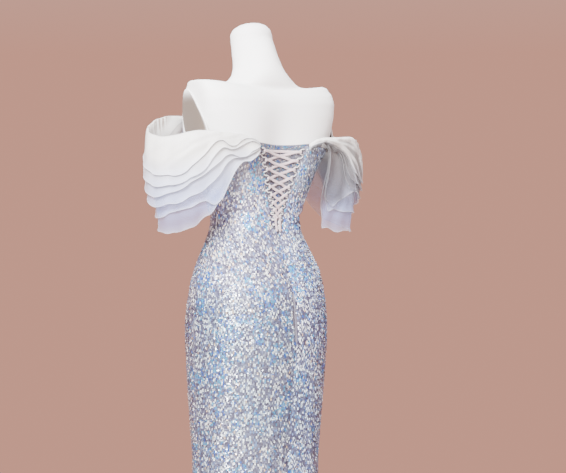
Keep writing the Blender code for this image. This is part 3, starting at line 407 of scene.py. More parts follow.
def section(turn, half_width, back, front, square, spine, bust):
    """Rounded square: x = a r cos t, y = b r sin t, r = (|cos t|^n + |sin t|^n)^(-1/n).

    The spine is a hollow and the bust two rises, each a bell curve of x.
    """
    c, s = np.cos(turn), np.sin(turn)
    square = np.where(s > 0, square, np.minimum(square, FRONT_SQUARENESS))
    reach = (np.abs(c) ** square + np.abs(s) ** square) ** (-1 / square)
    x = half_width * reach * c
    y = np.where(s > 0, back, front) * reach * s
    y = y - spine * np.clip(s, 0, 1) ** 0.5 * bell(x, 0, SPINE_REACH)
    return x, y - bust * np.clip(-s, 0, 1) ** 0.5 * bell(np.abs(x), BUST_X, BUST_REACH)


def skin(turn, height, out=0.0):
    """A point of the body surface moved level along its section's normal by out."""
    turn, height = np.broadcast_arrays(np.asarray(turn, float), np.asarray(height, float))
    measures = [body(name, height) for name in BODY_COLUMNS[1:]]
    x, y = section(turn, *measures)
    nudge = 0.01
    x1, y1 = section(turn - nudge, *measures)
    x2, y2 = section(turn + nudge, *measures)
    along = np.hypot(x2 - x1, y2 - y1)
    return np.stack([x + out * (y2 - y1) / along, y - out * (x2 - x1) / along, height], axis=-1)


def turn_at(x, height, side=1):
    """The turn at which the body's back (side 1) or front (side -1) has this x."""
    square = body("squareness", height)
    square = np.where(np.asarray(side) > 0, square, np.minimum(square, FRONT_SQUARENESS))
    share = np.clip(np.abs(x) / body("half_width", height), 0, 0.98)
    ratio = share / (1 - share**square) ** (1 / square)
    return side * np.arctan2(1.0, np.sign(x) * ratio)


def on_back(x, height, lift):
    """A point over the body's back at x and height, lifted off it."""
    x, height, lift = np.broadcast_arrays(*(np.asarray(v, float) for v in (x, height, lift)))
    return skin(turn_at(x, height), height, lift)


def neckline(turn):
    """Height of the gown's top edge, alike on both sides."""
    degrees = np.degrees(np.asarray(turn, float))
    degrees = np.where(degrees > 90, 180 - degrees, degrees)
    degrees = np.where(degrees < -90, -180 - degrees, degrees)
    return smooth(degrees, column(NECKLINE, NECKLINE_COLUMNS, "turn"),
                  column(NECKLINE, NECKLINE_COLUMNS, "height"))


def v_edge(height):
    """Half of the V's opening at a height; nothing but the seam below its foot."""
    return np.interp(np.clip(height, V_FOOT, None), column(V_EDGE, V_COLUMNS, "height"),
                     column(V_EDGE, V_COLUMNS, "half_opening"))


def crease(turn, height):
    """Sum of bells rise * exp(-(a / length)^2 - (b / width)^2), a and b along and across each.

    A crease bows, because b also grows by bow * a^2 / length.
    """
    turn, height = np.broadcast_arrays(turn, height)
    out = np.zeros(turn.shape)
    for row in CREASES:
        one = dict(zip(CREASE_COLUMNS, row))
        away = (turn - math.radians(one["turn"]) + math.pi) % (2 * math.pi) - math.pi
        across = away * body("half_width", np.array(one["height"]))
        up = height - one["height"]
        tilt = math.radians(one["tilt"])
        a = across * math.cos(tilt) + up * math.sin(tilt)
        b = -across * math.sin(tilt) + up * math.cos(tilt)
        b = b + CREASE_BOW * a * a / one["half_length"]
        out += one["rise"] * np.exp(-((a / one["half_length"]) ** 2)
                                    - (b / one["half_width"]) ** 2)
    return out


# ---- meshes -------------------------------------------------------------------------------
def make_piece(name, points, faces, uv=None, tint_and_light=None, smooth_faces=True, shares=()):
    """A mesh object from arrays of points and of faces with one number of corners."""
    corners = faces.shape[1]
    mesh = bpy.data.meshes.new(name)
    mesh.vertices.add(len(points))
    mesh.vertices.foreach_set("co", np.ascontiguousarray(points, np.float32).ravel())
    mesh.loops.add(faces.size)
    mesh.loops.foreach_set("vertex_index", np.ascontiguousarray(faces, np.int32).ravel())
    mesh.polygons.add(len(faces))
    mesh.polygons.foreach_set("loop_start", np.arange(0, faces.size, corners, dtype=np.int32))
    mesh.update(calc_edges=True)
    if uv is not None:
        layer = mesh.uv_layers.new(name="cloth")
        layer.data.foreach_set("uv", uv[faces.ravel()].astype(np.float32).ravel())
    if tint_and_light is not None:
        shade = mesh.attributes.new("tint_and_light", "FLOAT_COLOR", "POINT")
        shade.data.foreach_set("color", tint_and_light.astype(np.float32).ravel())
    for key, values in dict(shares).items():
        share = mesh.attributes.new(key, "FLOAT", "POINT")
        share.data.foreach_set("value", values.astype(np.float32).ravel())
    if smooth_faces:
        mesh.shade_smooth()
    mesh.validate()
    made = bpy.data.objects.new(name, mesh)
    bpy.context.scene.collection.objects.link(made)
    return made


def quads(rows, columns, around=False):
    """Corner numbers of a grid's quads; around joins the last column to the first."""
    index = np.arange(rows * columns).reshape(rows, columns)
    if around:
        index = np.concatenate([index, index[:, :1]], axis=1)
    return np.stack([index[:-1, :-1], index[:-1, 1:], index[1:, 1:], index[1:, :-1]],
                    axis=-1).reshape(-1, 4)


def outward_faces(points, faces):
    """The faces, turned over if the volume that they close comes out negative."""
    a, b, c, d = (points[faces[:, i]] for i in range(4))
    volume = np.sum(np.cross(a, b) * c) + np.sum(np.cross(a, c) * d)
    return faces if volume > 0 else faces[:, ::-1]


def make_wall(name, inner, outer, uv, shares=()):
    """A closed thin wall between two grids of points, joined along their common border.

    shares names grids of values for the inner and the outer points.
    """
    rows, columns = inner.shape[:2]
    skip = rows * columns
    face = quads(rows, columns)
    index = np.arange(skip).reshape(rows, columns)
    rim = np.concatenate([index[0, :-1], index[:-1, -1], index[-1, :0:-1], index[:0:-1, 0]])
    then = np.roll(rim, -1)
    border = np.stack([rim, then, then + skip, rim + skip], axis=-1)
    faces = np.concatenate([face[:, ::-1], face + skip, border])
    points = np.concatenate([inner.reshape(-1, 3), outer.reshape(-1, 3)])
    flat = uv.reshape(-1, 2)
    shares = {key: np.concatenate([one.ravel(), two.ravel()])
              for key, (one, two) in dict(shares).items()}
    return make_piece(name, points, outward_faces(points, faces), np.concatenate([flat, flat]),
                      shares=shares)


def make_tube(name, rings, uv):
    """A skin over closed rings (rings, points, 3), with a fan of quads closing each end."""
    count, around = rings.shape[:2]
    faces = quads(count, around, around=True)
    points = rings.reshape(-1, 3)
    flat = uv.reshape(-1, 2)
    step = np.arange(0, around, 2)
    caps = []
    for base, centre in ((0, len(points)), ((count - 1) * around, len(points) + 1)):
        a, b, c = base + step, base + (step + 1) % around, base + (step + 2) % around
        caps.append(np.stack([np.full_like(a, centre), a, b, c], axis=-1))
    faces = np.concatenate([faces, caps[0][:, ::-1], caps[1]])
    points = np.concatenate([points, rings[0].mean(0)[None], rings[-1].mean(0)[None]])
    flat = np.concatenate([flat, flat[:1], flat[-1:]])
    return make_piece(name, points, outward_faces(points, faces), flat)


def unit(vectors):
    """Vectors made one long."""
    return vectors / np.maximum(np.linalg.norm(vectors, axis=-1, keepdims=True), 1e-12)


def run_of(points):
    """Distance along a line of points, or along each row of a grid of them."""
    steps = np.linalg.norm(np.diff(points, axis=-2), axis=-1)
    return np.concatenate([np.zeros_like(steps[..., :1]), np.cumsum(steps, axis=-1)], axis=-1)


def refined(points, step):
    """The line through the points as a cubic of its own length, in even steps."""
    knots = run_of(points)
    count = max(int(round(knots[-1] / step)), 4)
    return smooth(np.linspace(0, knots[-1], count + 1), knots, points)


def area_of(grid):
    """Area of a grid of points: half of the cross product of each quad's diagonals."""
    one = grid[1:, 1:] - grid[:-1, :-1]
    two = grid[1:, :-1] - grid[:-1, 1:]
    return float(np.sum(np.linalg.norm(np.cross(one, two), axis=-1)) / 2)


def patches(x, y, size, seed):
    """Value noise from 0 to 1: random numbers on a lattice, blended with 3t2 - 2t3."""
    n = 64
    lattice = np.random.default_rng(seed).random((n, n))
    gx, gy = x / size, y / size
    ix, iy = np.floor(gx).astype(int), np.floor(gy).astype(int)
    tx, ty = gx - ix, gy - iy
    tx, ty = tx * tx * (3 - 2 * tx), ty * ty * (3 - 2 * ty)
    a, b = lattice[iy % n, ix % n], lattice[iy % n, (ix + 1) % n]
    c, d = lattice[(iy + 1) % n, ix % n], lattice[(iy + 1) % n, (ix + 1) % n]
    return (a * (1 - tx) + b * tx) * (1 - ty) + (c * (1 - tx) + d * tx) * ty


# ---- finishes -----------------------------------------------------------------------------
class Wire:
    """A shader value that can be reckoned with in plain sums."""

    def __init__(self, shading, socket):
        self.shading, self.socket = shading, socket

    def _do(self, way, a, b):
        return self.shading.math(way, a, b)

    def __add__(self, other):
        return self._do("ADD", self, other)

    def __radd__(self, other):
        return self._do("ADD", other, self)

    def __sub__(self, other):
        return self._do("SUBTRACT", self, other)

    def __rsub__(self, other):
        return self._do("SUBTRACT", other, self)

    def __mul__(self, other):
        return self._do("MULTIPLY", self, other)

    def __rmul__(self, other):
        return self._do("MULTIPLY", other, self)

    def __truediv__(self, other):
        return self._do("DIVIDE", self, other)

    def __pow__(self, other):
        return self._do("POWER", self, other)


class Shading:
    """A tree of shader nodes."""

    def __init__(self, tree):
        self.tree = tree

    def node(self, kind, settings=(), **inputs):
        """A node of a kind with its settings; inputs are numbers, tuples or wires."""
        made = self.tree.nodes.new(kind)
        for key, value in dict(settings).items():
            setattr(made, key, value)
        for key, value in inputs.items():
            self.plug(value, made.inputs[int(key[1:]) if key[1:].isdigit() else key])
        return made

    def plug(self, value, socket):
        """Sets a socket to a number or colour, or links a wire to it."""
        if isinstance(value, Wire):
            self.tree.links.new(value.socket, socket)
        else:
            socket.default_value = value

    def wire(self, node, output=0):
        """One of a node's outputs as a wire."""
        return Wire(self, node.outputs[output])

    def math(self, way, a, b=0.0):
        """A sum of one kind of two values."""
        return self.wire(self.node("ShaderNodeMath", {"operation": way}, _0=a, _1=b))

    def clamp(self, value, low=0.0, high=1.0):
        """A value held between two others."""
        return self.math("MINIMUM", self.math("MAXIMUM", value, low), high)

    def mix(self, factor, a, b):
        """Colours a and b mixed by a factor."""
        made = self.node("ShaderNodeMix", {"data_type": "RGBA"}, _0=factor, _6=a, _7=b)
        return self.wire(made, 2)

    def split(self, vector):
        """The three numbers of a vector."""
        made = self.node("ShaderNodeSeparateXYZ", (), Vector=vector)
        return [self.wire(made, i) for i in range(3)]

    def place(self, kind="Object"):
        """The point on the piece, in metres, or the way that a ray of the room goes."""
        return self.wire(self.node("ShaderNodeTexCoord"), kind)


class Finish(Shading):
    """A material: one Principled shader, with what changes over the surface wired into it."""

    def __init__(self, name, **constants):
        self.material = bpy.data.materials.new(name)
        self.material.use_nodes = True
        super().__init__(self.material.node_tree)
        self.shader = self.tree.nodes["Principled BSDF"]
        for key, value in constants.items():
            self.into(key.replace("_", " ").title().replace("Ior", "IOR"), value)

    def noise(self, scale, detail=2.0, at=None):
        """Noise from 0 to 1, so many grains a metre, over the piece or at a place."""
        made = self.node("ShaderNodeTexNoise", (), Vector=at or self.place(), Scale=scale,
                         Detail=detail)
        return self.wire(made)

    def cloth(self):
        """The piece's own map of its cloth, in metres, as two wires."""
        return self.split(self.wire(self.node("ShaderNodeUVMap", {"uv_map": "cloth"})))[:2]

    def share(self, name, output=2):
        """One of the piece's own values at each point; output 0 reads it as a colour."""
        return self.wire(self.node("ShaderNodeAttribute", {"attribute_name": name}), output)

    def sine(self, value, turns):
        """Sine of a value that runs through a number of turns a metre."""
        return self.math("SINE", value * (2 * math.pi * turns))

    def bump(self, height, strength, distance):
        """Wires a height to the shader's normal as a bump."""
        made = self.node("ShaderNodeBump", (), Strength=strength, Distance=distance,
                         Height=height)
        self.into("Normal", self.wire(made))

    def into(self, name, value):
        """Wires or sets one of the shader's inputs."""
        self.plug(value, self.shader.inputs[name])


def colour(red, green, blue):
    """A linear colour from screen values of 0 to 255."""
    return tuple((v / 255) ** 2.2 for v in (red, green, blue)) + (1.0,)


def sequin_finish():
    """Silver sequins: each has its own tint and painted light; faint noise clouds their gloss.
    """
    made = Finish("iridescent_sequins", metallic=0.22, ior=1.6, specular_ior_level=0.5,
                  coat_weight=1.0, coat_roughness=0.14)
    made.into("Base Color", made.share("tint_and_light", 0))
    made.into("Roughness", 0.30 + 0.22 * made.noise(160.0))
    return made.material


def net_finish():
    """Silver net under the sequins: |sin u sin v| for its threads, as a fine bump and greys."""
    made = Finish("silver_net", metallic=0.15, roughness=0.55)
    u, v = made.cloth()
    threads = made.math("ABSOLUTE", made.sine(u, NET_THREADS) * made.sine(v, NET_THREADS))
    made.into("Base Color", made.mix(made.clamp(0.35 * threads + 0.65 * made.noise(46.0)),
                                     colour(84, 80, 92), colour(120, 118, 132)))
    made.bump(threads, 0.35, 0.0006)
    return made.material


def organza_finish():
    """Thin white organza: clearer and bluer away from the gathers, with a close rolled hem.

    to_hem is the distance to the tier's own hem, past_upper the distance past the hem of the
    tier that lies over it, and shade greys the cloth where it hangs in its own shadow. The
    masks are 1 - distance / reach, held between 0 and 1: painted light lightens the cloth
    towards its own hem, and just past the upper tier's hem lie a thin painted shadow line, less
    clear than the cloth, and a soft painted shade. Brown streaks of painted shade lie in the
    gathers under the ring.
    """
    made = Finish("white_organza", roughness=0.50, sheen_weight=0.25, sheen_roughness=0.4)
    u, v = made.cloth()
    to_hem, past_upper, shade = (made.share(key) for key in ("to_hem", "past_upper", "shade"))
    hem = made.clamp(1.0 - to_hem * 700.0)
    # Painted light towards the tier's own hem.
    near_hem = made.clamp(1.0 - to_hem * 55.0)
    # A thin painted shadow line just past the upper tier's hem.
    line = made.clamp(1.0 - made.math("ABSOLUTE", past_upper * 480.0 - 0.55))
    under = made.clamp(1.0 - past_upper * 85.0) * made.clamp(1.0 + past_upper * 400.0)

    # Painted shade in the gathers under the ring: brown streaks drawn out along it.
    drawn_out = made.wire(made.node("ShaderNodeCombineXYZ", (), X=u * 150.0, Y=v * 9.0))
    gather_shade = made.clamp((made.noise(1.0, 3.0, at=drawn_out) - 0.44) * 9.0)
    gather_shade = gather_shade * made.clamp(1.0 - v * 16.0) * made.clamp((to_hem - 0.15) * 40.0)
    ends = made.clamp((0.16 - u) * 10.0) * made.clamp((v - 0.012) * 40.0)
    low = made.clamp((v - 0.050) * 8.0 + 0.30 * ends)

    cloth = made.mix(low, colour(248, 247, 245), colour(156, 174, 232))
    cloth = made.mix(0.85 * gather_shade, cloth, colour(122, 86, 62))
    cloth = made.mix(0.45 * low * near_hem, cloth, colour(222, 230, 250))
    cloth = made.mix(0.30 * under, cloth, colour(112, 112, 108))
    cloth = made.mix(hem, cloth, colour(236, 238, 246))
    cloth = made.mix(shade, cloth, colour(98, 94, 97))
    made.into("Base Color", made.mix(0.50 * line, cloth, colour(84, 88, 98)))
    clear = 0.52 - 0.27 * low - 0.11 * made.clamp((v - 0.172) * 40.0)
    clear = clear + 0.05 * made.noise(24.0, 3.0)
    made.into("Alpha", made.clamp(clear + 0.24 * hem + 0.15 * line))
    made.bump(made.sine(u, ORGANZA_THREADS) * made.sine(v, ORGANZA_THREADS), 0.06, 0.0002)
    return made.material


def satin_finish():
    """Pale pinkish satin: fine ribs across the lace and a soft shine."""
    made = Finish("satin_lace", roughness=0.32, sheen_weight=0.4, specular_ior_level=0.7)
    along = made.cloth()[0]
    made.into("Base Color", made.mix(made.noise(90.0), colour(184, 160, 165),
                                     colour(214, 197, 202)))
    made.bump(made.sine(along, SATIN_RIBS), 0.10, 0.0002)
    return made.material


def cord_finish():
    """White twisted cord: slanting turns as a bump, a little painted shade in the grooves."""
    made = Finish("white_cord", roughness=0.6, sheen_weight=0.3)
    u, v = made.cloth()
    twist = made.sine(u + v * CORD_SLANT, CORD_TURNS)
    groove = made.clamp(0.5 + 0.5 * twist)
    made.into("Base Color", made.mix(groove, colour(196, 190, 190), colour(240, 238, 238)))
    made.bump(groove, 0.5, 0.0004)
    return made.material


def linen_finish():
    """White linen cover: plain weave with slubs, as bump and as two near whites.

    In front of the arm plates its ends take the plates' colour: their beige with painted shade.
    """
    made = Finish("form_linen", roughness=0.85, sheen_weight=0.15)
    x, y, z = made.split(made.place())
    # Painted shade with the plates' beige on the torso's ends.
    end = made.clamp((made.math("ABSOLUTE", x) - PLATE_TURN * y - PLATE_X + 0.0045) * 320.0)
    end = end * made.clamp((PLATE_SHIFT - 0.012 - y - (z - PLATE_CENTRE) * PLATE_LEAN) * 90.0)
    end = end * made.clamp((z - END_BEIGE_SHADE_LOW) * 90.0) * made.clamp((END_BEIGE_SHADE_HIGH - z) * 60.0)
    u, v = made.cloth()
    slub = made.noise(320.0, 4.0)
    linen = made.mix(made.clamp(0.5 * slub + 0.5 * made.noise(9.0, 3.0)),
                     colour(240, 239, 239), colour(250, 250, 250))
    made.into("Base Color", made.mix(end, linen, colour(98, 86, 77)))
    made.bump(made.sine(u, LINEN_THREADS) * made.sine(v, LINEN_THREADS) + slub, 0.10, 0.0004)
    return made.material


def plate_finish():
    """Greyish beige cloth over the arm plates, with a fine grain.

    Its colour is partly the cloth's own beige and partly painted shade. It pales to linen
    towards the plate's rear edge and its top, where r, its share of the way from the middle of
    the egg to the rim, comes near one.
    """
    made = Finish("plate_cloth", roughness=0.8, sheen_weight=0.1)
    grain = made.noise(420.0, 4.0)
    y, up = made.cloth()
    rear = (y - PLATE_SHIFT + PLATE_LEAN * up) / (PLATE_HALF_DEPTH - PLATE_TAPER * up)
    high = up / PLATE_HALF_HEIGHT
    r = (rear * rear + high * high) ** 0.5
    pale = made.clamp((r - 0.80) * 5.5) * made.clamp(rear * 5.0)
    pale = made.math("MAXIMUM", pale, made.clamp((up - 0.032) * 29.0)) ** 3.0
    # The cloth's beige with painted shade in it.
    beige_and_shade = made.mix(made.clamp(0.4 * grain + 0.6 * made.noise(12.0)),
                     colour(90, 78, 70), colour(103, 91, 82))
    made.into("Base Color", made.mix(pale, beige_and_shade, colour(238, 237, 237)))
    made.bump(grain, 0.15, 0.0004)
    return made.material


def steel_finish():
    """Plain steel tube with marks that run round it."""
    made = Finish("pole_steel", metallic=1.0)
    height = made.split(made.place())[2]
    made.into("Base Color", made.mix(made.noise(30.0), (0.50, 0.50, 0.51, 1),
                                     (0.62, 0.62, 0.63, 1)))
    made.into("Roughness", 0.24 + 0.14 * made.noise(900.0, at=height))
    return made.material


def base_finish():
    """Light grey paint, faintly pebbled and clouded."""
    made = Finish("base_paint", roughness=0.42, specular_ior_level=0.45)
    made.into("Base Color", made.mix(made.noise(14.0, 3.0), colour(205, 205, 207),
                                     colour(219, 219, 220)))
    made.bump(made.noise(500.0), 0.10, 0.0003)
    return made.material


def floor_finish():
    """Plain pale floor with the faintest clouding, clearing away at its edge."""
    made = Finish("pale_floor", roughness=0.9)
    made.into("Base Color", made.mix(made.noise(0.6), colour(206, 196, 192),
                                     colour(211, 201, 197)))
    x, y = made.split(made.place())[:2]
    away = (x * x + y * y) ** 0.5
    made.into("Alpha", made.clamp((FLOOR_REACH - away) / FLOOR_FADE))
    return made.material


SEQUINS, NET, ORGANZA, SATIN = sequin_finish(), net_finish(), organza_finish(), satin_finish()
CORD, LINEN, PLATE = cord_finish(), linen_finish(), plate_finish()
STEEL, BASE_PAINT, FLOOR = steel_finish(), base_finish(), floor_finish()


def dress(piece, material, slot, *nodes):
    """Gives a piece its finish and body, and hides the solids that it stands for.

    Its slot is not used.
    """
    piece.data.materials.append(material)
    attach(piece, "root")
    if nodes:
        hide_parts(*nodes)
    return piece


# ---- the gown -----------------------------------------------------------------------------
def panel_turns(side, heights, shares):
    """Turns over a back panel: even shares between its side seam and its edge at the V."""
    edge = turn_at(v_edge(heights), heights)
    turns = SIDE_SEAM_TURN + (edge[:, None] - SIDE_SEAM_TURN) * shares
    return turns if side > 0 else math.pi - turns


def cloth_grid(turns, heights, out, away):
    """Points of a panel: the skin moved by out, by its creases and by the roll at its seams.

    The roll turns the cloth in near a seam: -SEAM_ROLL * exp(-(away / reach)^2).
    """
    roll = -SEAM_ROLL * bell(away, 0, SEAM_ROLL_REACH)
    return skin(turns, heights, out + crease(turns, heights) + roll)


def panel_grids(side, columns):
    """Inner and outer points of a panel and its cloth map.

    Heights run from the hem to the neckline at each turn; turns run between the seams, and on a
    back panel up to the edge of the V.
    """
    shares = np.linspace(0, 1, columns)
    up = np.linspace(0, 1, PANEL_ROWS)
    if side:
        level = HEM_HEIGHT + (float(neckline(math.pi / 2)) - HEM_HEIGHT) * up
        turns = panel_turns(side, level, shares)
    else:
        first = -math.pi - SIDE_SEAM_TURN
        turns = np.broadcast_to(first + (SIDE_SEAM_TURN - first) * shares,
                                (PANEL_ROWS, columns))
    heights = HEM_HEIGHT + (neckline(turns) - HEM_HEIGHT) * up[:, None]
    if side:
        turns = np.stack([panel_turns(side, heights[:, i], shares[i:i + 1])[:, 0]
                          for i in range(columns)], axis=1)
    across = run_of(skin(turns, heights, GOWN_OUT))
    width = across[:, -1:]
    away = np.minimum(across, width - across)
    uv = np.stack([across - width / 2, heights], axis=-1)
    inner = cloth_grid(turns, heights, GOWN_IN, away)
    outer = cloth_grid(turns, heights, GOWN_OUT, away)
    return inner, outer, uv


def sequin_places(centre, way, limit, seed):
    """Turns and heights of sequins sewn in upright rows at even distances from a line.

    Each row keeps its distance round the body from the line at turn centre; the distance is
    turned into a turn by reading the section's own length backwards, for all heights at once,
    each far apart from the next. limit(turn, height) is above nothing inside the panel.
    """
    rng = np.random.default_rng(seed)
    flank, just_past_side = 0.9, math.pi * 0.60
    fine = np.linspace(SEQUIN_LOW, SEQUIN_HIGH, 900)
    rise = run_of(skin(np.full(fine.shape, flank), fine))
    heights = np.interp(np.arange(0, rise[-1], SEQUIN_ALONG), rise, fine)
    span = centre + way * np.linspace(0, just_past_side, 150)
    shape = (len(heights), len(span))
    run = run_of(skin(np.broadcast_to(span, shape), heights[:, None], GOWN_OUT))
    columns = np.arange(SEQUIN_ACROSS / 2, run[:, -1].max(), SEQUIN_ACROSS)
    wanted = np.broadcast_to(columns, (len(heights), len(columns)))
    wanted = wanted + rng.normal(0, ROW_WAVER, wanted.shape)
    far_apart = np.arange(len(heights))[:, None] * 10.0
    turns = np.interp((np.clip(wanted, 0, None) + far_apart).ravel(),
                      (run + far_apart).ravel(), np.tile(span, len(heights)))
    turns = turns.reshape(wanted.shape)
    lift = rng.random(len(columns)) * SEQUIN_ALONG
    z = heights[:, None] + lift + rng.normal(0, ROW_JITTER, wanted.shape)
    keep = (wanted < run[:, -1:]) & (limit(turns, z) > 0)
    pairs = (np.arange(len(heights))[:, None] + rng.integers(0, 2, len(columns))) // 2
    luck = shared_luck(rng, pairs, np.arange(len(columns)))
    return turns[keep], z[keep], wanted[keep], luck[keep]


def shared_luck(rng, pairs, column):
    """One random number for each two discs of a row, mostly high and low by turns.

    Bright and dull pairs so stand like the squares of a chequered board, with some out of turn.
    The bright discs are painted glints and the dull ones painted shade.
    """
    shape = (int(pairs.max()) + 1, int(column.max()) + 1)
    out_of_turn = rng.random(shape) < OUT_OF_TURN
    turn = (np.add.outer(np.arange(shape[0]), np.arange(shape[1])) + out_of_turn) % 2
    luck = 0.5 * (rng.random(shape) + turn)
    return luck[pairs, column]


def sequin_mesh(name, turns, heights, across, luck, out, seed, fold=True, painted_light=1.0, corners=6):
    """Small discs on the cloth, lapped like tiles and each tipped a little its own way.

    A disc's normal is the cloth's plus a share of the upward tangent and a random share of
    both tangents. Its tint is silver, with patches of blue and cyan and a few warm glints, and
    painted glints and shade; a factor of painted light brightens or dims a whole panel.
    """
    rng = np.random.default_rng(seed)
    nudge, body_radius = 0.0012, 0.12

    def at(turn, height):
        return skin(turn, height, out + (crease(turn, height) if fold else 0.0))

    middle = at(turns, heights)
    up = unit(at(turns, heights + nudge) - middle)
    side = unit(at(turns + nudge / body_radius, heights) - middle)
    normal = unit(np.cross(side, up))
    scatter = rng.normal(0, SEQUIN_SCATTER, (2, len(turns), 1))
    normal = unit(normal + up * (SEQUIN_TILT + scatter[0]) + side * scatter[1])
    one = unit(np.cross(up, normal))
    two = np.cross(normal, one)
    angles = (np.arange(corners) + rng.random((len(turns), 1))) * 2 * math.pi / corners
    radius = SEQUIN_RADIUS * (0.94 + 0.12 * rng.random((len(turns), 1)))
    points = (middle[:, None] + (radius * np.cos(angles))[..., None] * one[:, None]
              + (radius * np.sin(angles))[..., None] * two[:, None])
    trough = crease(turns, heights) if fold else np.zeros(len(turns))
    tint_and_light = sequin_tints_and_light(across, heights, luck, trough, rng)
    # Painted light over the whole panel's discs.
    tint_and_light[:, :3] *= painted_light
    faces = np.arange(len(turns) * corners).reshape(-1, corners)
    return make_piece(name, points.reshape(-1, 3), faces, tint_and_light=np.repeat(tint_and_light, corners, axis=0),
                      smooth_faces=False)


def sequin_tints_and_light(across, heights, luck, trough, rng):
    """A colour for each disc by its luck: the chances turn bluer in patches.

    A patch is where three sizes of noise add up high; the finest makes it break into specks.
    The placket's top edge is blue too. Painted shade dulls the discs in a trough of the cloth,
    painted highlights brighten those round the waist, and the skirt below the seat is painted
    darker; white discs, which are painted glints, never go dull. The discs above the waist are
    calmed towards one grey. The skirt's backs are cooler in patches, and the right back, turned
    away from the key lamp, is painted cooler all over with cool light, more so away from its
    middle seam.
    """
    on_placket, on_backs = across > 5.0, np.abs(across) > 1.0
    skirt = ramp(heights, HIPS, -HIPS_OVER)
    bodice = ramp(heights, BODICE_FROM, BODICE_OVER)[:, None]
    right = (across < -1.0) * np.clip(0.25 + (-PANEL_APART - across) / 0.10, 0, 1)

    noise = sum(weight * patches(across + shift, heights * stretch, size, seed)
                for shift, stretch, size, seed, weight in BLUE_NOISE)
    rare = BLUE_FROM + BLUE_RARER * ramp(heights, RARER_FROM, RARER_OVER)
    top_edge = on_placket & (heights > MODESTY_TOP - TOP_EDGE)
    blue = np.maximum(ramp(noise, rare, BLUE_OVER), TOP_EDGE_BLUE * top_edge)[:, None]
    chance = np.array(SILVER_SHARES) * (1 - blue) + np.array(BLUE_SHARES) * blue
    chance = np.cumsum(chance / chance.sum(axis=-1, keepdims=True), axis=-1)
    pick = np.argmax(chance > luck[:, None], axis=-1)

    # Painted light: the skirt darker below the seat, highlights round the waist, shade in
    # troughs.
    painted_light = SKIRT_PAINTED_SHADE + SEAT_PAINTED_LIGHT * ramp(heights, SEAT_FROM, SEAT_OVER)
    for gain, height, reach in WAIST_PAINTED_HIGHLIGHTS:
        painted_light = painted_light + gain * bell(heights, height, reach)
    painted_light = painted_light + TROUGH_PAINTED_SHADE * np.minimum(trough, 0)
    shade = (SHADE_LEAST + SHADE_SPREAD * rng.random(len(across))) * painted_light
    shade = np.where(pick == WHITE, np.maximum(shade, WHITE_LEAST), shade)
    calm = CALM * bodice * (pick >= BLUE_GLINTS)[:, None]
    tints_and_glints = np.array([colour(*tint_and_light) for tint_and_light in TINTS_AND_GLINTS])
    made = (tints_and_glints[pick] * (1 - calm) + np.array(colour(*UPPER_GREY)) * calm) * shade[:, None]

    # The right back's cooling is painted cool light.
    cool = COOL_LEAST + patches(across + 5.0, heights, COOL_SIZE, COOL_SEED)
    cool = np.maximum(skirt * cool * on_backs, COOL_RIGHT * right)
    made[:, 0] *= 1 - COOL_RED * cool
    made[:, 1] *= 1 - COOL_GREEN * cool
    made[:, 2] *= 1 + RIGHT_BLUE * right * skirt
    made[:, 3] = 1.0
    return np.clip(made, 0, 1)


def front_limit(turn, height):
    """Room left inside the front panel, above nothing within it."""
    inside = np.minimum(turn - (-math.pi - SIDE_SEAM_TURN), SIDE_SEAM_TURN - turn)
    room = np.minimum(inside * SIDE_RADIUS, neckline(turn) - height)
    return np.minimum(room, height - HEM_HEIGHT) - FRONT_MARGIN


def back_limit(turn, height):
    """Room left inside the back panels, on either side of the V and the middle seam.

    Below the V the discs close over the seam, but for a hand's length of it at the seat.
    """
    left = np.where(turn > math.pi / 2, math.pi - turn, turn)
    edge = turn_at(v_edge(height), height)
    closed = SEAM_COVER * ramp(height, V_FOOT, -0.02)
    closed = closed - SLIT * bell(height, SLIT_HEIGHT, SLIT_REACH)
    room = np.minimum((left - SIDE_SEAM_TURN) * SIDE_RADIUS,
                      (edge - left) * BACK_RADIUS + closed)
    room = np.minimum(room, neckline(turn) - height)
    return np.minimum(room, height - HEM_HEIGHT) - BACK_MARGIN


def add_gown():
    """The front and the two backs, each a thin wall of net with its own sequins on it."""
    for name, node, side, columns, painted_light, corners in PANELS:
        inner, outer, uv = panel_grids(side, columns)
        cloth = dress(make_wall(name, inner, outer, uv), NET, "sequin_fabric", node)
        if side:
            runs = [sequin_places(math.pi / 2, -side, back_limit, seed=21 + side)]
        else:
            runs = [sequin_places(-math.pi / 2, way, front_limit, seed=11 + way)
                    for way in (1, -1)]
        turns, heights, across, luck = (np.concatenate([run[i] for run in runs])
                                        for i in range(4))
        across = across * np.where(np.cos(turns) > 0, 1, -1) + PANEL_APART * side
        sequins = sequin_mesh(name + "_sequins", turns, heights, across, luck,
                              GOWN_OUT + SEQUIN_LIFT, seed=31 + side, painted_light=painted_light,
                              corners=corners)
        dress(sequins, SEQUINS, "sequin_fabric")
        round(area_of(outer), 3)


def placket_dip(share, height):
    """How far the placket sinks, most in the middle of its top.

    dip * ramp * cos(share * pi / 2), with a ramp from MODESTY_DIP_FROM up to the top.
    """
    near_top = ramp(height, MODESTY_DIP_FROM, MODESTY_TOP - MODESTY_DIP_FROM)
    return MODESTY_DIP * near_top * np.cos(share * math.pi / 2)


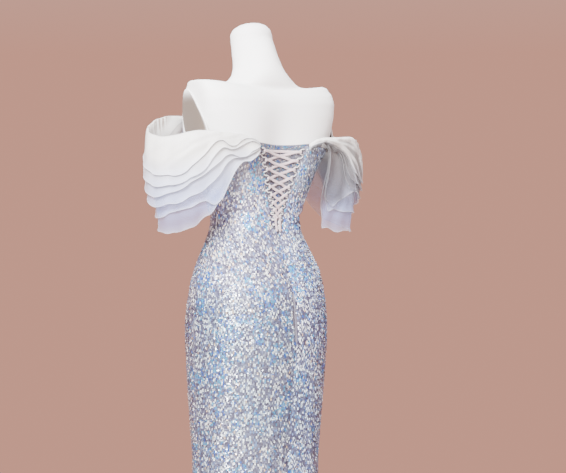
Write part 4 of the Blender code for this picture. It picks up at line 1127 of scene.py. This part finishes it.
def add_placket():
    """The placket under the lacing: a strip wider than the V whose top edge dips."""
    rows, columns = 60, 40
    heights = np.linspace(MODESTY_FOOT, MODESTY_TOP, rows)[:, None]
    shares = np.linspace(-1, 1, columns)
    x = (v_edge(heights) + MODESTY_MARGIN) * shares
    z = heights - placket_dip(shares, heights)
    inner, outer = on_back(x, z, MODESTY_IN), on_back(x, z, MODESTY_OUT)
    cloth = make_wall("placket", inner, outer, np.stack([x, z], axis=-1))
    dress(cloth, NET, "sequin_fabric", "modesty_panel")
    rng = np.random.default_rng(41)
    gx, gz = np.meshgrid(np.arange(-0.090, 0.090, SEQUIN_ACROSS),
                         np.arange(MODESTY_FOOT, MODESTY_TOP, SEQUIN_ALONG))
    gx = gx + rng.normal(0, PLACKET_WAVER, gx.shape)
    gz = gz + rng.normal(0, PLACKET_WAVER, gz.shape)
    share = np.clip(np.abs(gx) / (v_edge(gz) + MODESTY_MARGIN), 0, 1)
    roof = MODESTY_TOP - placket_dip(share, gz)
    keep = np.abs(gx) < v_edge(gz) - PLACKET_SIDE
    keep = keep & (gz < roof - PLACKET_ROOF) & (gz > V_FOOT + PLACKET_FLOOR)
    luck = rng.random(gx.shape)[keep]
    gx, gz = gx[keep], gz[keep]
    sequins = sequin_mesh("placket_sequins", turn_at(gx, gz), gz, gx + PLACKET_APART, luck,
                          MODESTY_OUT + PLACKET_SEQUIN_LIFT, seed=43, fold=False,
                          painted_light=PLACKET_PAINTED_SHADE)
    dress(sequins, SEQUINS, "sequin_fabric")
    round(area_of(outer), 4)


# ---- lacing -------------------------------------------------------------------------------
def tip(height):
    """How far from the middle a loop's tip lies."""
    return v_edge(height) - LOOP_REACH


def tube_rings(path, radius, sides):
    """Rings round a path: centre + radius (cos a across + sin a other), free of twist.

    across is one fixed way, out of the back, made square to the path, so that no ring turns
    against the next.
    """
    ahead = unit(np.gradient(path, axis=0))
    guide = np.broadcast_to(np.array((0.02, 1.0, 0.05)), path.shape)
    across = unit(guide - ahead * np.sum(guide * ahead, axis=-1, keepdims=True))
    other = np.cross(ahead, across)
    turns = np.linspace(0, 2 * math.pi, sides, endpoint=False)
    rings = (path[:, None] + radius * (np.cos(turns)[:, None] * across[:, None]
                                       + np.sin(turns)[:, None] * other[:, None]))
    run = np.broadcast_to(run_of(path)[:, None], rings.shape[:2])
    return rings, np.stack([run, np.broadcast_to(turns / (2 * math.pi), run.shape)], axis=-1)


def add_loops(side, name, node):
    """Square-cornered loops of one cord that stand out from the V's edge."""
    low, high = MODESTY_OUT + LACE_EASE + LOOP_CORD, LOOP_LIFT
    drawn = []
    for z in LOOP_HEIGHTS:
        top, bottom, end = z + LOOP_HALF_HEIGHT, z - LOOP_HALF_HEIGHT, tip(z)
        drawn += [
            (v_edge(top) - LOOP_ROOT, top, low),
            (end + LOOP_SHOULDER, top - LOOP_DROP, high),
            (end + LOOP_TIP, top - LOOP_CHAMFER, high),
            (end + LOOP_TIP, bottom + LOOP_CHAMFER, high),
            (end + LOOP_SHOULDER, bottom + LOOP_DROP, high),
            (v_edge(bottom) - LOOP_ROOT, bottom, low),
        ]
    x, z, lift = np.array(drawn).T
    path = refined(on_back(side * x, z, lift), LOOP_STEP)
    rings, uv = tube_rings(path, LOOP_CORD, LOOP_SIDES)
    dress(make_tube(name, rings, uv), CORD, "loop_cord", node)


def lace_route(side):
    """Half of the lace from the top down: x, height, lift, and the strand that a point is on."""
    drawn = []
    strand = 0
    for k, z in enumerate(LACED_HEIGHTS):
        end = tip(z)
        arriving = ARRIVING if end > NARROW else ARRIVING_NARROW
        wrap = ((-arriving, LACE_LOW),) + WRAP
        last = len(wrap) - 2
        drawn += [(side * (end + beyond), z, lift, strand + min(i, last) / last)
                  for i, (beyond, lift) in enumerate(wrap)]
        strand += 1
        if k + 1 < len(LACED_HEIGHTS):
            below = LACED_HEIGHTS[k + 1]
            middle = LACE_OVER if side > 0 else LACE_UNDER
            near, far = end, -tip(below)
            drawn += [(side * (near + (far - near) * share), z + (below - z) * share, middle,
                       strand) for share in STRAND_SHARES]
        side = -side
    return drawn


def strand_way(height_from, height_to, x_from, x_to):
    """Unit way across a strand, upwards, in x and height."""
    run, drop = x_to - x_from, height_to - height_from
    way = np.array((-drop, run)) / math.hypot(run, drop)
    return way if way[1] > 0 else -way


def half_lace(side):
    """Path and broad ways of half of the lace, from its top loop to its lowest one."""
    ways = [np.array((0.0, 1.0))]
    for k in range(len(LACED_HEIGHTS) - 1):
        here, there = LACED_HEIGHTS[k], LACED_HEIGHTS[k + 1]
        start = side * tip(here) * (-1) ** k
        ways.append(strand_way(here, there, start, -side * tip(there) * (-1) ** k))
    ways.append(np.array((0.0, 1.0)))
    ways = np.array(ways)
    x, z, lift, strand = np.array(lace_route(side)).T
    path = on_back(x, z, lift)
    i = np.minimum(strand.astype(int), len(ways) - 2)
    part = (strand - strand.astype(int))[:, None]
    way = ways[i] * (1 - part) + ways[i + 1] * part
    ahead = on_back(x + way[:, 0] * 0.001, z + way[:, 1] * 0.001, lift)
    return path, unit(ahead - path)


def add_lace():
    """One satin lace: up one half of the lacing, over the top, down the other half.

    Its section is a flat strip, a little thicker in the middle, carried along the path.
    """
    left_path, left_broad = half_lace(1)
    right_path, right_broad = half_lace(-1)
    crossings = len(LACED_HEIGHTS) - 1
    z = LACED_HEIGHTS[-1]
    tail = np.array(((tip(z) + TAIL[0][0], *TAIL[0][1:]),) + TAIL[1:])
    tails = [on_back(side * (-1) ** crossings * tail[:, 0], z - tail[:, 1], tail[:, 2])
             for side in (1, -1)]
    level = np.tile((1.0, 0.0, 0.0), (len(tail), 1))
    bar = on_back(np.array(TOP_BAR), LACED_HEIGHTS[0], LACE_LOW + 0.0002)
    up = np.tile((0.0, 0.0, 1.0), (len(bar), 1))
    path = np.concatenate([tails[0][::-1], left_path[::-1], bar, right_path, tails[1]])
    broad = np.concatenate([level, -left_broad[::-1], -up, -right_broad, -level])
    knots = run_of(path)
    steps = np.linspace(0, knots[-1], LACE_STEPS)
    fine = smooth(steps, knots, path)
    wide = np.stack([np.interp(steps, knots, broad[:, i]) for i in range(3)], axis=-1)
    ahead = unit(np.gradient(fine, axis=0))
    wide = unit(wide - ahead * np.sum(wide * ahead, axis=-1, keepdims=True))
    thick = np.cross(ahead, wide)
    upper = np.array(LACE_SECTION)
    shape = np.concatenate([upper * (1, -1), upper[::-1]])
    rings = (fine[:, None] + wide[:, None] * shape[:, :1] * LACE_WIDTH / 2
             + thick[:, None] * shape[:, 1:] * LACE_WALL / 2)
    uv = np.stack([np.broadcast_to(steps[:, None], rings.shape[:2]),
                   np.broadcast_to(shape[:, 0] * LACE_WIDTH / 2, rings.shape[:2])], axis=-1)
    dress(make_tube("satin_lace", rings, uv), SATIN, "satin_lace", "back_lace")


# ---- sleeves ------------------------------------------------------------------------------
def ring_line(count):
    """The hanging line in even steps, with its outward ways and its distances."""
    back = [on_back(x, z, 0.0) for x, z in RING_ON_BACK]
    front = [skin(turn_at(x, z, -1), z) for x, z in RING_ON_FRONT]
    knots = np.array(back + [np.array(p) for p in RING_FREE] + front)
    chord = run_of(knots)
    dense = smooth(np.linspace(0, chord[-1], 400), chord, knots)
    length = run_of(dense)
    steps = np.linspace(0, length[-1], count + 1)
    line = np.stack([np.interp(steps, length, dense[:, i]) for i in range(3)], axis=-1)
    ahead = np.gradient(line, axis=0)
    outward = unit(np.stack([-ahead[:, 1], ahead[:, 0], np.zeros(len(line))], axis=-1))
    return line, outward, steps


def sunk_in_body(point):
    """How far a point lies inside the body surface along Y, or less than nothing outside."""
    x, y, height = point[..., 0], point[..., 1], point[..., 2]
    surface = skin(turn_at(x, height, np.where(y > 0, 1, -1)), height)[..., 1]
    beside = np.abs(x) > body("half_width", height)
    return np.where(beside, -1.0, np.abs(surface) - np.abs(y))


def least_slope(line, outward, depth):
    """The lean that takes each hanging line straight down clear of the body, eased sideways."""
    sideways = np.maximum(np.abs(outward[:, 1]), 0.4)
    slope = np.full(len(line), LEAST_LEAN)
    for share in np.linspace(1 / CLEAR_STEPS, 1, CLEAR_STEPS):
        down = depth * share
        point = line + outward * (slope * down)[:, None]
        point[:, 2] -= down
        inside = np.clip(sunk_in_body(point) + GOWN_OUT * share, 0, None)
        slope = slope + inside / sideways / down
    padded = np.pad(slope, 1, mode="edge")
    most = np.maximum(np.maximum(padded[:-2], padded[1:-1]), padded[2:])
    padded = np.pad(most, 1, mode="edge")
    return (padded[:-2] + padded[1:-1] + padded[2:]) / 3


def tier_depth(row, along):
    """Depth of a tier along the ring: a cubic through its table, times 1 + uneven * sine."""
    depth = smooth(along, np.array(PLACES), np.array(row[1:], float))
    return depth * (1 + UNEVEN * np.sin(along * 2 * math.pi / UNEVEN_LENGTH + 40 * row[0]))


def drape_folds(table, along, down):
    """Soft ridges that sweep down from the ring: rise * exp(-((down - path) / half_width)^2).

    path = drop + fall * (run / FOLD_UNIT)^bend, with run the distance past the fold's start.
    A ridge grows wider as it runs, and fades in at its start and out at its end.
    """
    out = np.zeros(down.shape)
    for row in table:
        one = dict(zip(FOLD_COLUMNS, row))
        run = np.clip(along - one["start"], 0, None)
        path = one["drop"] + one["fall"] * (run / FOLD_UNIT) ** one["bend"]
        wide = one["half_width"] * (1 + FOLD_GROWS * run)
        fade = ramp(run, 0, FOLD_START) * ramp(run, FOLD_END, -FOLD_FADE)
        out += one["rise"] * fade * bell(down, path, wide)
    return out


def sleeve_shade(side, tier, along, down, ridges):
    """How grey the inner and outer faces are, from 0 to 1.

    Painted shade: the inner faces of the front half lie in the sleeve's shade. On the right the
    back half is tucked under: shade is painted on its lower tiers too, and on the upper ones
    between their folds.
    """
    inner = INNER_SHADE * ramp(along, 0.25, 0.04) * ramp(down, 0.030, 0.03)
    outer = np.zeros(down.shape)
    if side < 0:
        near = ramp(along, 0.26, -0.05) * ramp(down, 0.004, 0.010)
        if tier < FOLDED_TIERS:
            outer = near * (FOLD_SHADE * np.clip(1.15 - ridges / 0.0026, 0, 1))
        else:
            lower = ramp(down, 0.180, -0.030) * np.clip((0.175 - along) / 0.03, 0.2, 1)
            outer = near * (TUCK_SHADE * lower)
    return np.maximum(inner, outer), outer


def add_flounces(side, name, node, seed):
    """Six tiers on one line, each a wall whose points hang down from it.

    A point is line + outward * (offset + slope * down + swell), lowered by down. Small gathers
    die away below the line, folds sweep down from it, and each tier stands off and flutters a
    little in its own way towards its hem, which is rolled.
    """
    tiers, folds, puff = ((LEFT_TIERS, LEFT_FOLDS, LEFT_PUFF) if side > 0
                          else (RIGHT_TIERS, RIGHT_FOLDS, RIGHT_PUFF))
    coarse_line, coarse_out, coarse_along = ring_line(RING_STEPS)
    line, outward, along = ring_line(FINE_RING_STEPS)
    total = along[-1]
    from_end = np.minimum(along, total - along)
    free = ramp(from_end, FREE_FROM, FREE_OVER)
    free = free * free * (3 - 2 * free)
    deepest = np.minimum(tier_depth(tiers[-1], coarse_along), CLEAR_DEPTH)
    rest = smooth(along, coarse_along, least_slope(coarse_line, coarse_out, deepest))
    fold = WAVE * np.sin(along * 2 * math.pi / WAVE_LENGTH) * ramp(from_end, 0, WAVE_FROM)
    if side < 0:
        line[:, 2] -= RIGHT_RING_DROP * bell(along, RING_DROP_PLACE, RING_DROP_REACH)
        fold = fold + smooth(along, np.array(PLACES), np.array(RIGHT_TUCK))
    rng = np.random.default_rng(seed)
    upper = np.full(len(along), -0.5)  # no hem lies over the top tier
    for tier, row in enumerate(tiers):
        above = len(tiers) - 1 - tier
        depth = tier_depth(row, along)
        slope = row[0] * free + above * TIER_SPREAD * (1 - free) + rest * (1 - free) + fold
        down = depth * (1 - (1 - np.linspace(0, 1, SLEEVE_ROWS)) ** 1.6)[:, None]
        to_hem, past, share = depth - down, down - upper, down / depth
        phase, bend = rng.random(2) * 2 * math.pi
        ripple_length = FLUTTER_LENGTH * (0.9 + 0.2 * rng.random())
        ripple = np.sin(along * 2 * math.pi / ripple_length + phase)
        gather = np.sin(along * 2 * math.pi / GATHER_LENGTH + 1.7 * np.sin(along * 70 + bend))
        ridges = drape_folds(folds, along, down)

        ease = 1 - np.exp(-down / TIER_EASE)
        swell = puff * free * (1 - np.exp(-down / PUFF_DEPTH))
        folded = (FOLD_LEAST + FOLD_MORE * above) * ridges * (1 - FOLD_LOSES * share**3)
        gathered = GATHER * gather * np.exp(-down / GATHER_DEPTH) * ramp(down, 0, 0.004)
        flared = FLARE * ramp(-to_hem, -FLARE_REACH, FLARE_REACH) ** 2
        flared = flared * ramp(depth, 0, FLARE_FULL)
        fluttered = FLUTTER * ripple * share**2 * ramp(depth, 0, FLUTTER_FULL)
        out = (FLOUNCE_IN + above * (FLOUNCE_NEAR + FLOUNCE_FAR * ease) + slope * down + swell
               + folded + gathered + flared + fluttered)
        roll = ROLL * bell(to_hem, 0, ROLL_DEPTH)
        grids = []
        for offset in (-roll, FLOUNCE_CLOTH + roll):
            point = line + outward * (out + offset)[..., None]
            point[..., 2] -= down
            point[..., 0] *= side
            grids.append(point)
        uv = np.stack([np.broadcast_to(along, down.shape), down], axis=-1)
        inner, outer = sleeve_shade(side, tier, along, down, ridges)
        piece = make_wall(f"{name}_{tier + 1}", grids[0], grids[1], uv,
                          {"to_hem": (to_hem, to_hem), "past_upper": (past, past),
                           "shade": (inner, outer)})
        upper = depth
        dress(piece, ORGANZA, "organza", f"{node}_{tier + 1}")
        round(total * GATHERED, 3)
        round(area_of(grids[1]) * GATHERED, 4)


# ---- dress form ---------------------------------------------------------------------------
def add_torso():
    """The padded torso: rings of the body and the shoulders, blended smoothly from one to next.

    Its ends are x / (1 + (x / cut)^n)^(1/n): flat at the cut, with a softly rounded edge.
    """
    even = np.linspace(0, 2 * math.pi, FORM_SIDES, endpoint=False)
    turns = even + FORM_CROWD * np.sin(2 * even)
    ease = FORM_EASE + FRONT_EASE * np.clip(-np.sin(turns), 0, 1)
    rings = [skin(turns, np.full(FORM_SIDES, z), -ease) for z in FORM_ROWS]
    foot = [rings[0] * (share, share, 1) - (0, 0, drop) for share, drop in FORM_FOOT]
    for row in SHOULDERS:
        ring = dict(zip(SHOULDER_COLUMNS, row))
        x, y = section(turns, ring["half_width"], ring["back"], ring["front"],
                       ring["squareness"], ring["spine"], 0.0)
        share = np.sin(turns) ** SADDLE
        far = np.where(np.sin(turns) > 0, ring["back_height"], ring["front_height"])
        z = ring["side_height"] * (1 - share) + far * share
        rings.append(np.stack([x, y + ring["centre"], z], axis=-1))
    rings = np.array(foot + rings)
    knots = np.arange(len(rings), dtype=float)
    at = np.linspace(0, len(rings) - 1, (len(rings) - 1) * 4 + 1)
    fine = smooth(at, knots, rings.reshape(len(rings), -1)).reshape(len(at), FORM_SIDES, 3)
    cut = PLATE_X + PLATE_TURN * fine[..., 1]
    fine[..., 0] /= (1 + (np.abs(fine[..., 0]) / cut) ** END_SHARPNESS) ** (1 / END_SHARPNESS)
    mean_radius = 0.15
    run = np.broadcast_to(even * mean_radius, fine.shape[:2])
    uv = np.stack([run, fine[..., 2]], axis=-1)
    torso = make_tube("torso_cover", fine, uv)
    torso.data.set_sharp_from_angle(angle=math.radians(55))
    dress(torso, LINEN, "form_linen", "form_torso")


def add_plate(side, name, node):
    """An egg-shaped arm plate with a rounded rim, leaning forwards at its top.

    It is flat but for its back, which bends to the torso as the square of the distance.
    """
    turns = np.linspace(0, 2 * math.pi, 80, endpoint=False)
    rim = np.linspace(0, math.pi / 2, 5)
    # From the inner face round the rim to the outer one: each ring's share of the egg, and x.
    shares = np.concatenate([[0.3, 0.98], [1.0], 0.98 + 0.02 * np.cos(rim), [0.7, 0.3]])
    xs = np.concatenate([[0.0003, 0.0003], [0.0008], 0.0018 + 0.0012 * np.sin(rim),
                         [PLATE_WALL + 0.0001, PLATE_WALL + 0.0001]])
    high = PLATE_HALF_HEIGHT * shares[:, None] * np.sin(turns)
    half_depth = PLATE_HALF_DEPTH * shares[:, None] - PLATE_TAPER * high
    y = PLATE_SHIFT + half_depth * np.cos(turns) - PLATE_LEAN * high
    bend = PLATE_BEND * np.clip(y - PLATE_BEND_FROM, 0, None) ** 2
    x = side * (PLATE_X + PLATE_TURN * y - bend + xs[:, None])
    rings = np.stack([x, y, PLATE_CENTRE + high], axis=-1)
    dress(make_tube(name, rings, np.stack([y, high], axis=-1)), PLATE, "arm_plate", node)


def turned(profile, sides=96):
    """Rings of a profile of radius and height: (radius cos t, radius sin t, height)."""
    turns = np.linspace(0, 2 * math.pi, sides, endpoint=False)
    radius, height = np.array(profile).T
    rings = np.stack([radius[:, None] * np.cos(turns), radius[:, None] * np.sin(turns),
                      np.broadcast_to(height[:, None], (len(profile), sides))], axis=-1)
    return rings, turns


def add_stand():
    """The pole and the round base, turned about the middle."""
    for name, profile, material, slot, node in (
            ("stand_base", BASE_PROFILE, BASE_PAINT, "base_paint", "form_base"),
            ("stand_pole", POLE_PROFILE, STEEL, "pole_steel", "form_pole")):
        rings, turns = turned(profile)
        run = np.broadcast_to(turns * STAND_RADIUS, rings.shape[:2])
        uv = np.stack([run, rings[..., 2]], axis=-1)
        piece = make_tube(name, rings, uv)
        piece.data.set_sharp_from_angle(angle=math.radians(50))
        dress(piece, material, slot, node)


# ---- room ---------------------------------------------------------------------------------
def add_floor():
    """A round floor a hair below the part: rings of quads round a small open middle."""
    reach = np.linspace(0.02, FLOOR_REACH, 24)
    rings, turns = turned(np.stack([reach, np.full(len(reach), -0.0005)], axis=-1))
    floor = make_piece("floor", rings.reshape(-1, 3),
                       quads(len(reach), len(turns), around=True))
    floor.data.materials.append(FLOOR)


def aim(thing, place, target):
    """Stands a lamp at a place and turns it to a target."""
    thing.location = place
    way = np.array(target, float) - np.array(place, float)
    level = math.hypot(way[0], way[1])
    thing.rotation_euler = (math.atan2(level, -way[2]), 0.0, math.atan2(-way[0], way[1]))


def add_room():
    """Soft studio light: a pale room, paler overhead, and four soft lamps."""
    world = bpy.data.worlds.new("studio")
    world.use_nodes = True
    room = Shading(world.node_tree)
    upwards = room.split(room.place("Generated"))[2]
    share = room.clamp((upwards - CEILING_FROM) / (CEILING_FULL - CEILING_FROM))
    room.plug(room.mix(share, WALL_LIGHT, CEILING_LIGHT),
              room.tree.nodes["Background"].inputs["Color"])
    bpy.context.scene.world = world

    seen = np.array((math.sin(CAMERA_TURN), -math.cos(CAMERA_TURN), 0.0))
    right = np.array((math.cos(CAMERA_TURN), math.sin(CAMERA_TURN), 0.0))
    up = np.array((0.0, 0.0, 1.0))
    for name, ahead, beside, high, size, power in LAMPS:
        lamp = bpy.data.lights.new(name, "AREA")
        lamp.size, lamp.energy = size, power
        made = bpy.data.objects.new(name, lamp)
        bpy.context.scene.collection.objects.link(made)
        aim(made, ahead * seen + beside * right + high * up, LAMP_TARGET)


def add_camera():
    """The viewer: level with the waist, behind the wearer's left shoulder."""
    lens = bpy.data.cameras.new("viewer")
    lens.sensor_width = 36.0
    lens.lens = FOCAL_PIXELS / FRAME_PIXELS * lens.sensor_width
    lens.shift_x = OFF_CENTRE / FRAME_PIXELS
    camera = bpy.data.objects.new("viewer", lens)
    bpy.context.scene.collection.objects.link(camera)
    camera.location = (CAMERA_DISTANCE * math.sin(CAMERA_TURN),
                       -CAMERA_DISTANCE * math.cos(CAMERA_TURN), CAMERA_HEIGHT)
    camera.rotation_euler = (math.pi / 2, 0.0, CAMERA_TURN)
    bpy.context.scene.camera = camera


add_camera()
add_room()
add_floor()
add_torso()
add_plate(1, "arm_plate_left", "form_arm_plate_left")
add_plate(-1, "arm_plate_right", "form_arm_plate_right")
add_stand()
add_gown()
add_placket()
add_loops(1, "loops_left", "lacing_loops_left")
add_loops(-1, "loops_right", "lacing_loops_right")
add_lace()
add_flounces(1, "sleeve_left", "flounce_left", 61)
add_flounces(-1, "sleeve_right", "flounce_right", 67)
